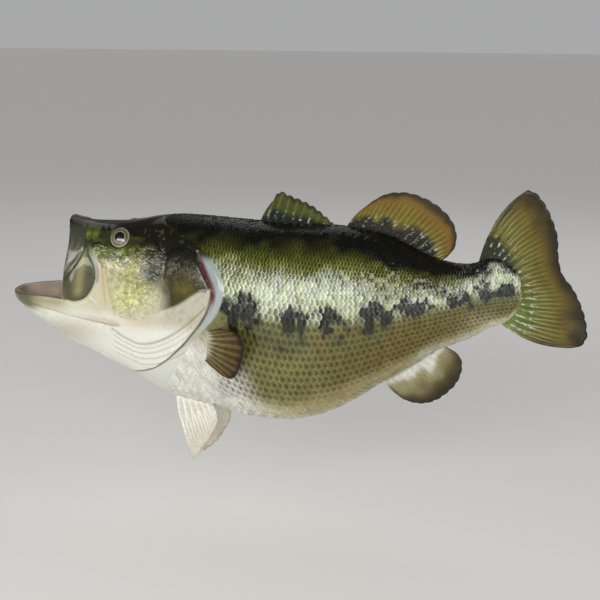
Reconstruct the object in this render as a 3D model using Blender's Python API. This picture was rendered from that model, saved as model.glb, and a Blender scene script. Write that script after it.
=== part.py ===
"""Mounted largemouth bass, life size, with its mouth open and its head turned out from the wall.

Row frame: metres, +Z up.  The wall is the plane Y = 0 and the fish hangs on its -Y side, with its
head toward -X.  The origin is the middle of the backing board's wall face.

The fish is drawn straight, in its own frame (u, w, z): u runs from the jaw to the tail, w is the
distance out of the fish's middle plane toward the left flank, and z is up, BOARD_LEVEL higher than
the row's Z.  pose() then turns and rolls the head and swings the tail, and every point of the fish
passes through it once.  The flesh is one loft that thin cuts part into nodes; each cut leaves a
gap of CUT between its two sides.
"""
from math import cos, pi, sin

import bmesh
import bpy
import numpy as np

# ---------------------------------------------------------------- driving dimensions (metres)
CUT = 0.0003                     # gap between two nodes that meet
PLATE_GAP = 0.0006               # round the plates that are sunk into the head's sides
BODY_RING, MOUTH_RING = 22, 14   # points round the lofts of the body and of the mouth
MAXILLA_RIM, GILL_RIM = 15, 23   # points round the plates
EYE_SIDES, EYE_RINGS = 18, 4
FLAT_ANGLE = 0.0005              # radians between faces that count as one plane
MIDPLANE_Y = -0.082              # the fish's middle plane, in front of the wall

HEAD_TURN_FROM = -0.060          # the body is straight behind this u and bends out ahead of it
HEAD_TURN_RADIUS = 0.810
TAIL_TURN_FROM = 0.060           # the tail swings slightly back to the wall behind this u
TAIL_TURN_RADIUS = 5.2
HEAD_ROLL = 0.052                # radians, the crown tipped toward the left flank
HEAD_ROLL_SPAN = (-0.110, -0.250)
HEAD_ROLL_Z = 0.020

JAW_TIP_U = -0.346
SNOUT_U = -0.269
TAIL_FLESH_U = 0.312             # end of the flesh on the tail fin's base
LIP_Z = 0.0255                   # level of the lower lip
TAIL_CUT_U = 0.137               # trunk and tail part behind the vent

EYE_U, EYE_Z = -0.195, 0.101
EYE_RADIUS = 0.0128              # of the visible disc
EYE_DOME_RADIUS = 0.0190
EYE_BULGE = 0.0046
EYE_THICKNESS = 0.0095
EYE_TILT_UP = 0.46               # radians
EYE_TILT_FORWARD = 0.06

MAXILLA_OUT, MAXILLA_IN = 0.0028, 0.0045         # over and under the flank
GILL_OUT_FRONT, GILL_OUT_REAR, GILL_IN = 0.0008, 0.0040, 0.0032
PLATE_RINGS = (1.0, 0.72, 0.38)                  # shares of a plate's outline
RECESS_RISE = 12                                 # a recess tool stands this many gaps higher

FIN_MEMBRANE = 0.55              # a membrane's thickness as a share of its rays'
PECTORAL_ROOT_U = -0.072
PECTORAL_SPREAD = 0.42           # how fast the left pectoral leaves the flank
PECTORAL_LIE = 0.0022            # clearance of the folded right pectoral
TONGUE_MIDDLE_Z = -0.018

BOARD_LEVEL = 0.038              # height of the board's middle on the fish, at u = 0
BOARD_WIDTH, BOARD_HEIGHT = 0.104, 0.066
BOARD_DEPTH = 0.026
BOARD_CORNER, BOARD_CORNER_STEPS = 0.010, 5
BOARD_BEVEL = 0.003
HANGER_WIDTH, HANGER_HEIGHT, HANGER_DEPTH, HANGER_Z = 0.056, 0.014, 0.0015, 0.018

# Lines of the body, each a smooth curve through (u, value).
BACK_LINE = [
    (-0.346, 0.040), (-0.325, 0.080), (-0.290, 0.112), (-0.270, 0.1225), (-0.258, 0.1195),
    (-0.240, 0.1160), (-0.222, 0.1150), (-0.200, 0.1155), (-0.180, 0.1185), (-0.155, 0.1235),
    (-0.127, 0.1262), (-0.095, 0.1260), (-0.050, 0.1240), (0.0, 0.1222), (0.050, 0.1222),
    (0.085, 0.1215), (0.115, 0.1190), (0.145, 0.1135), (0.172, 0.1025), (0.200, 0.0890),
    (0.225, 0.0825), (0.250, 0.0825), (0.270, 0.0895), (0.288, 0.0880), (0.300, 0.0795),
    (0.308, 0.0680), (TAIL_FLESH_U, 0.0520)]
BELLY_LINE = [
    (-0.346, 0.0160), (-0.337, 0.0070), (-0.324, -0.0045), (-0.309, -0.0165), (-0.294, -0.0290),
    (-0.276, -0.0405), (-0.245, -0.0545), (-0.219, -0.0685), (-0.196, -0.0795), (-0.167, -0.0975),
    (-0.130, -0.1130), (-0.102, -0.1185), (-0.060, -0.1250), (-0.019, -0.1302), (0.008, -0.1315),
    (0.035, -0.1290), (0.062, -0.1213), (0.088, -0.1100), (0.114, -0.0940), (0.139, -0.0760),
    (0.165, -0.0602), (0.190, -0.0430), (0.212, -0.0270), (0.238, -0.0162), (0.257, -0.0070),
    (0.272, 0.0030), (0.288, 0.0090), (0.300, 0.0180), (0.308, 0.0310), (TAIL_FLESH_U, 0.0460)]
HALF_WIDTH = [
    (-0.346, 0.0060), (-0.341, 0.0200), (-0.332, 0.0300), (-0.318, 0.0385), (-0.300, 0.0455),
    (-0.278, 0.0505), (-0.250, 0.0540), (-0.210, 0.0575), (-0.170, 0.0620), (-0.120, 0.0670),
    (-0.070, 0.0710), (-0.020, 0.0750), (0.030, 0.0735), (0.080, 0.0670), (0.130, 0.0560),
    (0.180, 0.0420), (0.220, 0.0300), (0.250, 0.0215), (0.275, 0.0135), (0.295, 0.0070),
    (TAIL_FLESH_U, 0.0030)]
WIDEST_LEVEL = [
    (-0.346, 0.0240), (-0.300, 0.0200), (-0.262, 0.0140), (-0.200, 0.0120), (-0.150, 0.0160),
    (-0.100, 0.0120), (0.0, 0.0), (0.100, 0.0060), (0.200, 0.0280), (TAIL_FLESH_U, 0.0490)]
BODY_STATIONS = (list(np.linspace(JAW_TIP_U, -0.318, 4)) + list(np.linspace(-0.302, -0.120, 11))
                 + list(np.linspace(-0.098, 0.255, 15)) + [0.272, 0.286, 0.298, 0.307, TAIL_FLESH_U])
# Powers of the section's two halves: 2 is an ellipse, more is boxier.
UPPER_POWER = [(-0.346, 2.4), (-0.250, 2.6), (-0.200, 3.2), (-0.160, 2.8), (-0.120, 2.45),
               (-0.030, 2.15), (0.100, 2.0), (TAIL_FLESH_U, 2.0)]
LOWER_POWER = [(-0.346, 2.0), (-0.120, 2.0), (0.0, 2.15), (0.120, 2.0), (TAIL_FLESH_U, 2.0)]

# Lines of the mouth cavity.
MOUTH_FRONT_U, MOUTH_BACK_U = -0.3385, -0.150
MOUTH_STATIONS = [MOUTH_FRONT_U, -0.333, -0.322, -0.304, -0.280, -0.252, -0.222, -0.190, -0.165,
                  MOUTH_BACK_U]
MOUTH_POWERS = (2.6, 2.3)
MOUTH_ROOF = [(-0.3385, 0.036), (-0.320, 0.070), (-0.290, 0.100), (-0.268, 0.1125), (-0.255, 0.1095),
              (-0.235, 0.1020), (-0.210, 0.0850), (-0.185, 0.0700), (-0.165, 0.0520), (-0.150, 0.0250)]
MOUTH_FLOOR = [(-0.3385, 0.0180), (-0.330, 0.0110), (-0.315, 0.0040), (-0.298, -0.0030),
               (-0.278, -0.0100), (-0.250, -0.0190), (-0.220, -0.0290), (-0.190, -0.0340),
               (-0.165, -0.0270), (-0.150, 0.0050)]
MOUTH_HALF_WIDTH = [(-0.3385, 0.0060), (-0.334, 0.0180), (-0.325, 0.0270), (-0.312, 0.0340),
                    (-0.297, 0.0390), (-0.278, 0.0430), (-0.250, 0.0455), (-0.220, 0.0440),
                    (-0.190, 0.0370), (-0.165, 0.0250), (-0.150, 0.0060)]

# Cuts between the nodes of flesh, as paths in (u, z) right through the fish.
JAW_CORNER = (-0.205, -0.003)
THROAT_CORNER = (-0.132, -0.050)
JAW_CUT = [(-0.292, 0.0330), (-0.2745, 0.0262), (-0.262, 0.0225), (-0.240, 0.0180),
           (-0.217, 0.0110), JAW_CORNER, (-0.209, -0.040), (-0.224, -0.110)]
SNOUT_CUT = [(-0.222, 0.150), (-0.225, 0.060), (-0.217, 0.0110)]
THROAT_CUT = [JAW_CORNER, (-0.190, -0.016), (-0.170, -0.030), (-0.150, -0.040), THROAT_CORNER]
HEAD_CUT = [(-0.150, 0.155), (-0.128, 0.1255), (-0.112, 0.105), (-0.095, 0.090), (-0.088, 0.060),
            (-0.086, 0.030), (-0.092, 0.0), (-0.108, -0.028), THROAT_CORNER, (-0.156, -0.075),
            (-0.162, -0.135)]
TAIL_CUT = [(TAIL_CUT_U - 0.004, 0.160), (TAIL_CUT_U + 0.003, -0.110)]

# Outlines of the plates that lie on the sides of the head.
MAXILLA_OUTLINE = [(-0.241, 0.090), (-0.2345, 0.079), (-0.2285, 0.066), (-0.2268, 0.054),
                   (-0.232, 0.038), (-0.240, 0.0275), (-0.253, 0.0218), (-0.266, 0.0228),
                   (-0.2735, 0.0280), (-0.2752, 0.038), (-0.2735, 0.048), (-0.266, 0.057),
                   (-0.254, 0.069), (-0.246, 0.081)]
MAXILLA_CENTRE = (-0.250, 0.046)
GILL_OUTLINE = [(-0.121, 0.088), (-0.104, 0.094), (-0.088, 0.087), (-0.0785, 0.073), (-0.0700, 0.059),
                (-0.0620, 0.046), (-0.0595, 0.036), (-0.0625, 0.022), (-0.073, 0.003),
                (-0.091, -0.018), (-0.113, -0.039), (-0.135, -0.056), (-0.153, -0.0655),
                (-0.170, -0.062), (-0.180, -0.043), (-0.174, -0.022), (-0.158, -0.008),
                (-0.141, 0.000), (-0.131, 0.012), (-0.1275, 0.027), (-0.1295, 0.042),
                (-0.1308, 0.056), (-0.1285, 0.072)]
GILL_CENTRE = (-0.108, 0.018)

# The gape: a block that leaves the upper jaw's rim rounded in plan and leaning forward as it drops.
GAPE_FAR_U = -0.420
GAPE_LEVELS = [LIP_Z, 0.040, 0.060, 0.080, 0.105, 0.160]
GAPE_WIDTHS = np.linspace(-0.080, 0.080, 9)
RIM_ROUNDING, RIM_ROUNDING_WIDTH, RIM_ROUNDING_MOST = 0.006, 0.040, 2.2
RIM_LEAN, RIM_LEAN_TOP, RIM_LEAN_SPAN = 0.013, 0.112, 0.070

SHEET_STEP = 0.022               # longest facet along a cut
SHEET_HALF_SPAN = 0.120


# ---------------------------------------------------------------- curves and the pose
def smooth_step(t):
    t = np.clip(t, 0.0, 1.0)
    return t * t * (3 - 2 * t)


def curve(points):
    """A smooth function through (position, value) points."""
    x, y = np.array(points, float).T
    gap = np.diff(x)
    slope = np.diff(y) / gap
    m = np.empty(len(x))
    m[1:-1] = (slope[:-1] * gap[1:] + slope[1:] * gap[:-1]) / (x[2:] - x[:-2])
    m[0], m[-1] = slope[0], slope[-1]

    def value(t):
        i = np.clip(np.searchsorted(x, t) - 1, 0, len(x) - 2)
        s = np.clip((t - x[i]) / gap[i], 0.0, 1.0)
        return (y[i] * (1 + 2 * s) * (1 - s) ** 2 + m[i] * gap[i] * s * (1 - s) ** 2
                + y[i + 1] * s * s * (3 - 2 * s) + m[i + 1] * gap[i] * s * s * (s - 1))
    return value


def path_points(points, count, closed=False):
    """count points, evenly spaced along a smooth curve through the given points."""
    p = np.array(points, float)
    if closed:
        p = np.vstack([p[-2:], p, p[:3]])
    length = np.concatenate([[0], np.cumsum(np.linalg.norm(np.diff(p, axis=0), axis=1))])
    first, last = (length[2], length[-3]) if closed else (0.0, length[-1])
    fine = np.linspace(first, last, 40 * len(p))
    dense = np.stack([curve(list(zip(length, c)))(fine) for c in p.T], 1)
    run = np.concatenate([[0], np.cumsum(np.linalg.norm(np.diff(dense, axis=0), axis=1))])
    places = np.linspace(0, run[-1], count + 1)[:-1] if closed else np.linspace(0, run[-1], count)
    return np.stack([np.interp(places, run, c) for c in dense.T], 1)


def pose(u, w, z):
    """Row-frame points of the straight fish's (u, w, z)."""
    u, w, z = np.broadcast_arrays(*[np.asarray(a, float) for a in (u, w, z)])
    start, end = HEAD_ROLL_SPAN
    roll = HEAD_ROLL * smooth_step((start - u) / (start - end))
    rise = z - HEAD_ROLL_Z
    w, z = w * np.cos(roll) + rise * np.sin(roll), HEAD_ROLL_Z + rise * np.cos(roll) - w * np.sin(roll)
    head = np.maximum(HEAD_TURN_FROM - u, 0) / HEAD_TURN_RADIUS
    tail = np.maximum(u - TAIL_TURN_FROM, 0) / TAIL_TURN_RADIUS
    x = (np.clip(u, HEAD_TURN_FROM, TAIL_TURN_FROM) - HEAD_TURN_RADIUS * np.sin(head)
         + TAIL_TURN_RADIUS * np.sin(tail) + w * (np.sin(head) + np.sin(tail)))
    y = (MIDPLANE_Y - HEAD_TURN_RADIUS * (1 - np.cos(head)) + TAIL_TURN_RADIUS * (1 - np.cos(tail))
         - w * np.cos(head + tail))
    return np.stack([x, y, z - BOARD_LEVEL], -1)


back, belly, half_width = curve(BACK_LINE), curve(BELLY_LINE), curve(HALF_WIDTH)
level, upper_power, lower_power = curve(WIDEST_LEVEL), curve(UPPER_POWER), curve(LOWER_POWER)
mouth_roof, mouth_floor, mouth_half_width = (
    curve(MOUTH_ROOF), curve(MOUTH_FLOOR), curve(MOUTH_HALF_WIDTH))


def side(u, z):
    """Distance of the left flank's surface from the middle plane."""
    up = z > level(u)
    power = np.where(up, upper_power(u), lower_power(u))
    height = np.where(up, back(u) - level(u), level(u) - belly(u))
    share = np.clip(np.abs(z - level(u)) / height, 0, 0.999)
    return half_width(u) * (1 - share ** power) ** (1 / power)


# ---------------------------------------------------------------- meshes
def grid_rim(rows, columns):
    """Indices round the edge of a grid of points stored row by row."""
    return (list(range(columns)) + [r * columns + columns - 1 for r in range(1, rows)]
            + [(rows - 1) * columns + c for c in range(columns - 2, -1, -1)]
            + [r * columns for r in range(rows - 2, 0, -1)])


def slab_faces(rows, columns):
    """Faces of a solid whose two broad faces are grids stored one after the other."""
    size = rows * columns
    faces = fold_faces(rows, columns) + [[size + i for i in f] for f in fold_faces(rows, columns)]
    rim = grid_rim(rows, columns)
    return faces + [(a, b, size + b, size + a) for a, b in zip(rim, rim[1:] + rim[:1])]


def new_object(name, points, faces):
    """A closed mesh of triangles, faces out."""
    mesh = bpy.data.meshes.new(name)
    mesh.from_pydata([tuple(map(float, p)) for p in points], [], [tuple(f) for f in faces])
    work = bmesh.new()
    work.from_mesh(mesh)
    bmesh.ops.triangulate(work, faces=work.faces, quad_method="FIXED")
    bmesh.ops.recalc_face_normals(work, faces=work.faces)
    if work.calc_volume(signed=True) < 0:
        bmesh.ops.reverse_faces(work, faces=work.faces)
    work.to_mesh(mesh)
    work.free()
    thing = bpy.data.objects.new(name, mesh)
    bpy.context.collection.objects.link(thing)
    return thing


def fold_faces(rows, columns, closed_rows=False):
    """Quads of a grid of points stored row by row; closed_rows joins each row's two ends."""
    last = columns if closed_rows else columns - 1
    return [(r * columns + c, r * columns + (c + 1) % columns,
             (r + 1) * columns + (c + 1) % columns, (r + 1) * columns + c)
            for r in range(rows - 1) for c in range(last)]


def loft(name, rings):
    """A closed tube through rings of equal length, each end closed to its ring's middle."""
    rings = [np.array(r) for r in rings]
    count = len(rings[0])
    points = np.vstack(rings + [rings[0].mean(0)[None], rings[-1].mean(0)[None]])
    faces = fold_faces(len(rings), count, True)
    start, end, tail = len(points) - 2, len(points) - 1, (len(rings) - 1) * count
    for c in range(count):
        faces.append((start, (c + 1) % count, c))
        faces.append((end, tail + c, tail + (c + 1) % count))
    return new_object(name, points, faces)


def section_ring(count, u, roof, floor, widest, width, powers, grow, shift=0.0):
    """One posed ring of superellipse halves, from the left flank up over the back."""
    angle = np.linspace(0, 2 * pi, count, endpoint=False)
    c, s = np.cos(angle), np.sin(angle)
    power = np.where(s > 0, powers[0], powers[1])
    height = np.where(s > 0, roof - widest, widest - floor) + grow
    w = (width + grow) * np.sign(c) * np.abs(c) ** (2 / power)
    z = widest + height * np.sign(s) * np.abs(s) ** (2 / power)
    return pose(u + shift, w, z)


def body_loft(name, first=JAW_TIP_U, last=TAIL_FLESH_U, grow=0.0):
    """The body's loft between two places along it, or a tool a little larger than it."""
    stations = [u for u in BODY_STATIONS if first <= u <= last]
    rings = []
    for u in stations:
        end = int(u == stations[-1]) - int(u == stations[0])
        rings.append(section_ring(BODY_RING, u, back(u), belly(u), level(u), half_width(u),
                                  (upper_power(u), lower_power(u)), grow, end * grow))
    return loft(name, rings)


def mouth_loft(name, grow=0.0):
    """The mouth's cavity, widest a little under the lip."""
    rings = []
    for u in MOUTH_STATIONS:
        widest = LIP_Z + (mouth_floor(u) - LIP_Z) * 0.12
        rings.append(section_ring(MOUTH_RING, u, mouth_roof(u), mouth_floor(u), widest,
                                  mouth_half_width(u), MOUTH_POWERS, grow))
    return loft(name, rings)


def sheet(name, path):
    """A sheet CUT thick that follows a path in (u, z) and spans the fish from side to side."""
    p = np.array(path, float)
    fine = [p[0]]
    for a, b in zip(p[:-1], p[1:]):
        steps = max(1, int(round(np.linalg.norm(b - a) / SHEET_STEP)))
        fine += [a + (b - a) * (i + 1) / steps for i in range(steps)]
    p = np.array(fine)
    along = np.gradient(p, axis=0)
    across = np.stack([-along[:, 1], along[:, 0]], 1)
    across /= np.linalg.norm(across, axis=1)[:, None]
    rings = []
    for q, n in zip(p, across):
        a, b = q + n * CUT / 2, q - n * CUT / 2
        rings.append([pose(a[0], SHEET_HALF_SPAN, a[1]), pose(b[0], SHEET_HALF_SPAN, b[1]),
                      pose(b[0], -SHEET_HALF_SPAN, b[1]), pose(a[0], -SHEET_HALF_SPAN, a[1])])
    points = np.array(rings).reshape(-1, 3)
    faces = []
    for r in range(0, 4 * (len(rings) - 1), 4):      # the two broad faces share their diagonals
        faces += [(r + 3, r, r + 4, r + 7), (r + 2, r + 6, r + 5, r + 1),
                  (r, r + 1, r + 5, r + 4), (r + 2, r + 3, r + 7, r + 6)]
    last = 4 * (len(rings) - 1)
    return new_object(name, points, faces + [(0, 3, 2, 1), tuple(last + i for i in range(4))])


def plate(name, outline, centre, count, outer, inner, flank, grow=0.0):
    """A plate lying on one flank (1 left, -1 right), its outline in (u, z).

    Its surfaces are outer(u, z) over the flank and inner under it.  grow widens it for its recess.
    """
    edge = path_points(outline, count, True)
    middle = np.array(centre)
    away = np.roll(edge, -1, 0) - np.roll(edge, 1, 0)
    away = np.stack([away[:, 1], -away[:, 0]], 1)
    away /= np.linalg.norm(away, axis=1)[:, None]
    away *= np.sign(((edge - middle) * away).sum(1))[:, None]
    edge = edge + away * grow
    inside = np.vstack([middle + (edge - middle) * share for share in PLATE_RINGS] + [middle])
    points = []
    for top in (True, False):
        for u, z in inside:
            w = side(u, z) + (outer(u, z) + RECESS_RISE * grow if top else -inner - grow)
            points.append(pose(u, flank * w, z))
    faces = []
    rings = len(PLATE_RINGS)
    size = rings * count + 1
    for base in (0, size):
        for f in fold_faces(rings, count, True):
            faces.append([base + i for i in f])
        for c in range(count):
            last = base + (rings - 1) * count
            faces.append((base + size - 1, last + c, last + (c + 1) % count))
    for c in range(count):
        d = (c + 1) % count
        faces.append((c, d, size + d, size + c))
    return new_object(name, points, faces)


def cut(thing, tool, kind="DIFFERENCE", solver="EXACT"):
    """Applies a Boolean to a mesh at once and removes the tool."""
    step = thing.modifiers.new("cut", "BOOLEAN")
    step.operation = kind
    step.solver = solver
    step.object = tool
    bpy.context.view_layer.update()
    result = bpy.data.meshes.new_from_object(
        thing.evaluated_get(bpy.context.evaluated_depsgraph_get()))
    work = bmesh.new()
    work.from_mesh(result)
    bmesh.ops.triangulate(work, faces=work.faces, ngon_method="EAR_CLIP")
    work.to_mesh(result)
    work.free()
    thing.modifiers.clear()
    thing.data = result
    bpy.data.objects.remove(tool)


def loose_parts(thing):
    """Splits a mesh into its separate bodies and returns them with their middles."""
    work = bmesh.new()
    work.from_mesh(thing.data)
    todo, parts = set(work.verts), []
    while todo:
        seed = next(v for v in work.verts if v in todo)
        group, edge = {seed}, [seed]
        while edge:
            v = edge.pop()
            for e in v.link_edges:
                other = e.other_vert(v)
                if other not in group:
                    group.add(other)
                    edge.append(other)
        todo -= group
        order = {v: i for i, v in enumerate(v for v in work.verts if v in group)}
        faces = [[order[v] for v in f.verts] for f in work.faces if f.verts[0] in group]
        points = [v.co.copy() for v in order]
        parts.append((points, faces))
    work.free()
    bpy.data.objects.remove(thing)
    return parts


def finish(thing, name, material, smooth_angle=0.6):
    """Names a solid, joins the coplanar scraps a cut leaves, shades it and gives it its material."""
    work = bmesh.new()
    work.from_mesh(thing.data)
    bmesh.ops.dissolve_limit(work, angle_limit=FLAT_ANGLE, verts=work.verts, edges=work.edges)
    bmesh.ops.triangulate(work, faces=work.faces, ngon_method="EAR_CLIP")
    work.to_mesh(thing.data)
    work.free()
    thing.name = name
    thing.data.name = name
    thing.data.materials.clear()
    thing.data.materials.append(material)
    thing.data.shade_smooth()
    thing.data.set_sharp_from_angle(angle=smooth_angle)
    return thing


def paint(name, colour, roughness, metallic=0.0):
    material = bpy.data.materials.new(name)
    material.use_nodes = True
    shader = material.node_tree.nodes["Principled BSDF"]
    shader.inputs["Base Color"].default_value = (*colour, 1.0)
    shader.inputs["Roughness"].default_value = roughness
    shader.inputs["Metallic"].default_value = metallic
    return material


# ---------------------------------------------------------------- the flesh
def gape():
    """The space ahead of the upper jaw's rim and above the lower lip."""
    points = []
    for z in GAPE_LEVELS:
        for w in GAPE_WIDTHS:
            rounding = RIM_ROUNDING * min((w / RIM_ROUNDING_WIDTH) ** 2, RIM_ROUNDING_MOST)
            lean = RIM_LEAN * float(smooth_step((RIM_LEAN_TOP - z) / RIM_LEAN_SPAN))
            points.append(pose(SNOUT_U + rounding - lean, w, z))
    points += [pose(GAPE_FAR_U, w, z) for z in GAPE_LEVELS for w in GAPE_WIDTHS]
    return new_object("gape", points, slab_faces(len(GAPE_LEVELS), len(GAPE_WIDTHS)))


def gill_outer(u, z):
    """How far the gill cover stands over the flank: more toward its free edge."""
    share = smooth_step(((u + 0.135) - 0.9 * np.minimum(z, 0.0)) / 0.060)
    return GILL_OUT_FRONT + (GILL_OUT_REAR - GILL_OUT_FRONT) * share


def maxilla_outer(_u, _z):
    return MAXILLA_OUT


def eye_solid(name, flank, grow=0.0):
    """A domed glass eye on its tilted axis."""
    radius = EYE_RADIUS + grow
    dome_depth = EYE_DOME_RADIUS - np.sqrt(EYE_DOME_RADIUS ** 2 - EYE_RADIUS ** 2)
    profile = []
    for i in range(EYE_RINGS + 1):
        r = radius * sin(i / EYE_RINGS * pi / 2)
        profile.append((r, dome_depth * (1 - (r / radius) ** 2) + grow))
    profile.append((radius, -(EYE_THICKNESS - dome_depth) - grow))
    axis = np.array([-sin(EYE_TILT_FORWARD), flank * cos(EYE_TILT_UP), sin(EYE_TILT_UP)])
    axis /= np.linalg.norm(axis)
    right = np.cross(axis, [0, 0, 1.0])
    right /= np.linalg.norm(right)
    up = np.cross(right, axis)
    surface = np.array([EYE_U, flank * side(EYE_U, EYE_Z), EYE_Z])
    middle = surface + axis * (EYE_BULGE - dome_depth)
    points = [middle + axis * profile[0][1]]
    for r, h in profile[1:]:
        for k in range(EYE_SIDES):
            a = 2 * pi * k / EYE_SIDES
            points.append(middle + axis * h + (right * cos(a) + up * sin(a)) * r)
    points.append(middle + axis * profile[-1][1])
    faces = [(0, 1 + k, 1 + (k + 1) % EYE_SIDES) for k in range(EYE_SIDES)]
    for f in fold_faces(len(profile) - 1, EYE_SIDES, True):
        faces.append([1 + i for i in f])
    last = 1 + (len(profile) - 2) * EYE_SIDES
    faces += [(len(points) - 1, last + (k + 1) % EYE_SIDES, last + k) for k in range(EYE_SIDES)]
    return new_object(name, [pose(*p) for p in points], faces)


def board_block(name, grow=0.0):
    """The backing board, with round corners and a bevelled front edge."""
    half_x, half_z = BOARD_WIDTH / 2 - BOARD_CORNER, BOARD_HEIGHT / 2 - BOARD_CORNER
    centres = [(half_x, half_z), (-half_x, half_z), (-half_x, -half_z), (half_x, -half_z)]
    rings = []
    profile = [(grow * 4, 0.0), (BOARD_BEVEL - BOARD_DEPTH, 0.0), (-BOARD_DEPTH - grow, BOARD_BEVEL)]
    for y, inset in profile:
        ring = []
        for quarter, (x, z) in enumerate(centres):
            for i in range(BOARD_CORNER_STEPS + 1):
                a = (quarter + i / BOARD_CORNER_STEPS) * pi / 2
                r = BOARD_CORNER + grow - inset
                ring.append((x + r * cos(a), y, z + r * sin(a)))
        rings.append(ring)
    size = len(rings[0])
    faces = fold_faces(len(rings), size, True)
    faces += [tuple(range(size)), tuple(len(rings) * size - 1 - i for i in range(size))]
    return new_object(name, np.array(rings).reshape(-1, 3), faces)


def slab(name, x, y, z):
    corners = [(a, b, c) for a in x for b in y for c in z]
    faces = [(0, 1, 3, 2), (4, 6, 7, 5), (0, 4, 5, 1), (2, 3, 7, 6), (0, 2, 6, 4), (1, 5, 7, 3)]
    return new_object(name, corners, faces)


def build_flesh(skin):
    """Head, jaws, throat, trunk and tail: one loft, hollowed by the mouth and parted by thin cuts."""
    flesh = body_loft("flesh")
    cut(flesh, gape())
    cut(flesh, mouth_loft("mouth"))
    cut(flesh, board_block("board_recess", CUT))
    for flank in (1, -1):
        cut(flesh, eye_solid("socket", flank, CUT))
        cut(flesh, plate("maxilla_recess", MAXILLA_OUTLINE, MAXILLA_CENTRE, MAXILLA_RIM,
                         maxilla_outer, MAXILLA_IN, flank, PLATE_GAP))
        cut(flesh, plate("gill_recess", GILL_OUTLINE, GILL_CENTRE, GILL_RIM, gill_outer, GILL_IN,
                         flank, PLATE_GAP))
    for path in (JAW_CUT, SNOUT_CUT, THROAT_CUT, HEAD_CUT, TAIL_CUT):
        cut(flesh, sheet("cut_sheet", path), solver="MANIFOLD")
    homes = {"head": pose(-0.170, 0, 0.070), "upper_jaw": pose(-0.250, 0, 0.080),
             "lower_jaw": pose(-0.280, 0, -0.020), "throat": pose(-0.180, 0, -0.070),
             "trunk": pose(0.0, 0, 0.0), "tail": pose(0.200, 0, 0.030)}
    parts = loose_parts(flesh)
    parts.sort(key=lambda p: -len(p[0]))
    nodes = {}
    for points, faces in parts:
        middle = np.mean([tuple(p) for p in points], 0)
        name = min((n for n in homes if n not in nodes), default=None,
                   key=lambda n: np.linalg.norm(homes[n] - middle))
        if name is None:
            continue
        nodes[name] = finish(new_object(name, points, faces), name, skin)
    return nodes


def build_plates(plate_paint, gill_paint):
    for flank, where in ((1, "left"), (-1, "right")):
        finish(plate("maxilla", MAXILLA_OUTLINE, MAXILLA_CENTRE, MAXILLA_RIM, maxilla_outer,
                     MAXILLA_IN, flank), "maxilla_" + where, plate_paint)
        finish(plate("gill_cover", GILL_OUTLINE, GILL_CENTRE, GILL_RIM, gill_outer, GILL_IN, flank),
               "gill_cover_" + where, gill_paint)


def build_tongue(material):
    """A low tongue on the floor of the mouth."""
    rings = []
    for u, width, top in ((-0.302, 0.006, 0.0035), (-0.298, 0.012, 0.0050), (-0.285, 0.0165, 0.0040),
                          (-0.265, 0.0185, -0.0010), (-0.240, 0.0190, -0.0080), (-0.218, 0.0170, -0.0160)):
        angle = np.linspace(0, 2 * pi, 14, endpoint=False)
        height = (top - TONGUE_MIDDLE_Z) * np.sin(angle)
        rings.append(pose(u, width * np.cos(angle), TONGUE_MIDDLE_Z + height))
    tongue = loft("tongue", rings)
    cut(tongue, mouth_loft("floor", -CUT), "INTERSECT")
    return finish(tongue, "tongue", material)


# ---------------------------------------------------------------- the fins
def fan(name, base, tips, lead_bow, trail_bow, rays, rows, thick, sag=None):
    """A pleated fin: rays fan from the base curve to the tip curve, in (u, w, z).

    lead_bow and trail_bow push the middle of the first and the last ray sideways, and the rays
    between share them out.  thick is (at the base, at the edge); membranes are thinner than rays.
    """
    columns = 2 * rays - 1
    start, end = path_points(base, columns), path_points(tips, columns)
    lead, trail = np.array(lead_bow, float), np.array(trail_bow, float)
    centre = np.empty((rows, columns, 3))
    width = np.empty((rows, columns))
    for c in range(columns):
        share = c / (columns - 1)
        bow = lead * max(0.0, 1 - 2 * share) + trail * max(0.0, 2 * share - 1)
        for r in range(rows):
            t = r / (rows - 1)
            centre[r, c] = start[c] * (1 - t) + end[c] * t + bow * 4 * t * (1 - t)
            if sag is not None:
                centre[r, c, 1] += sag(share, t)
            ray = c % 2 == 0
            width[r, c] = (thick[0] + (thick[1] - thick[0]) * t) * (1.0 if ray else FIN_MEMBRANE)
    down_ray = np.gradient(centre, axis=0)
    over = np.gradient(centre, axis=1)
    normal = np.cross(down_ray, over)
    normal /= np.linalg.norm(normal, axis=2)[:, :, None]
    half = normal * width[:, :, None] / 2
    faces_out = [centre + half, centre - half]
    points = np.vstack([f.reshape(-1, 3) for f in faces_out])
    return new_object(name, [pose(*p) for p in points], slab_faces(rows, columns))


def flat(points):
    """(u, z) points set in the middle plane."""
    return [(u, 0.0, z) for u, z in points]


def scallops(points, spines, depth):
    """Tips that rise at each spine and dip between them."""
    columns = 2 * spines - 1
    tips = path_points(points, columns)
    tips[1::2] -= np.array([0.0, 0.0, depth])
    return tips


def spiny_dorsal():
    base = flat([(-0.023, 0.1150), (0.025, 0.1150), (0.072, 0.1150)])
    tips = flat([(-0.004, 0.1470), (0.0065, 0.1605), (0.020, 0.1560), (0.037, 0.1500),
                 (0.052, 0.1430), (0.063, 0.1345), (0.0765, 0.1240)])
    return fan("dorsal_fin_spiny", base, scallops(tips, 10, 0.0022), (-0.001, 0, 0.0010),
               (0, 0, 0), 10, 4, (0.0036, 0.0012))


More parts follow.
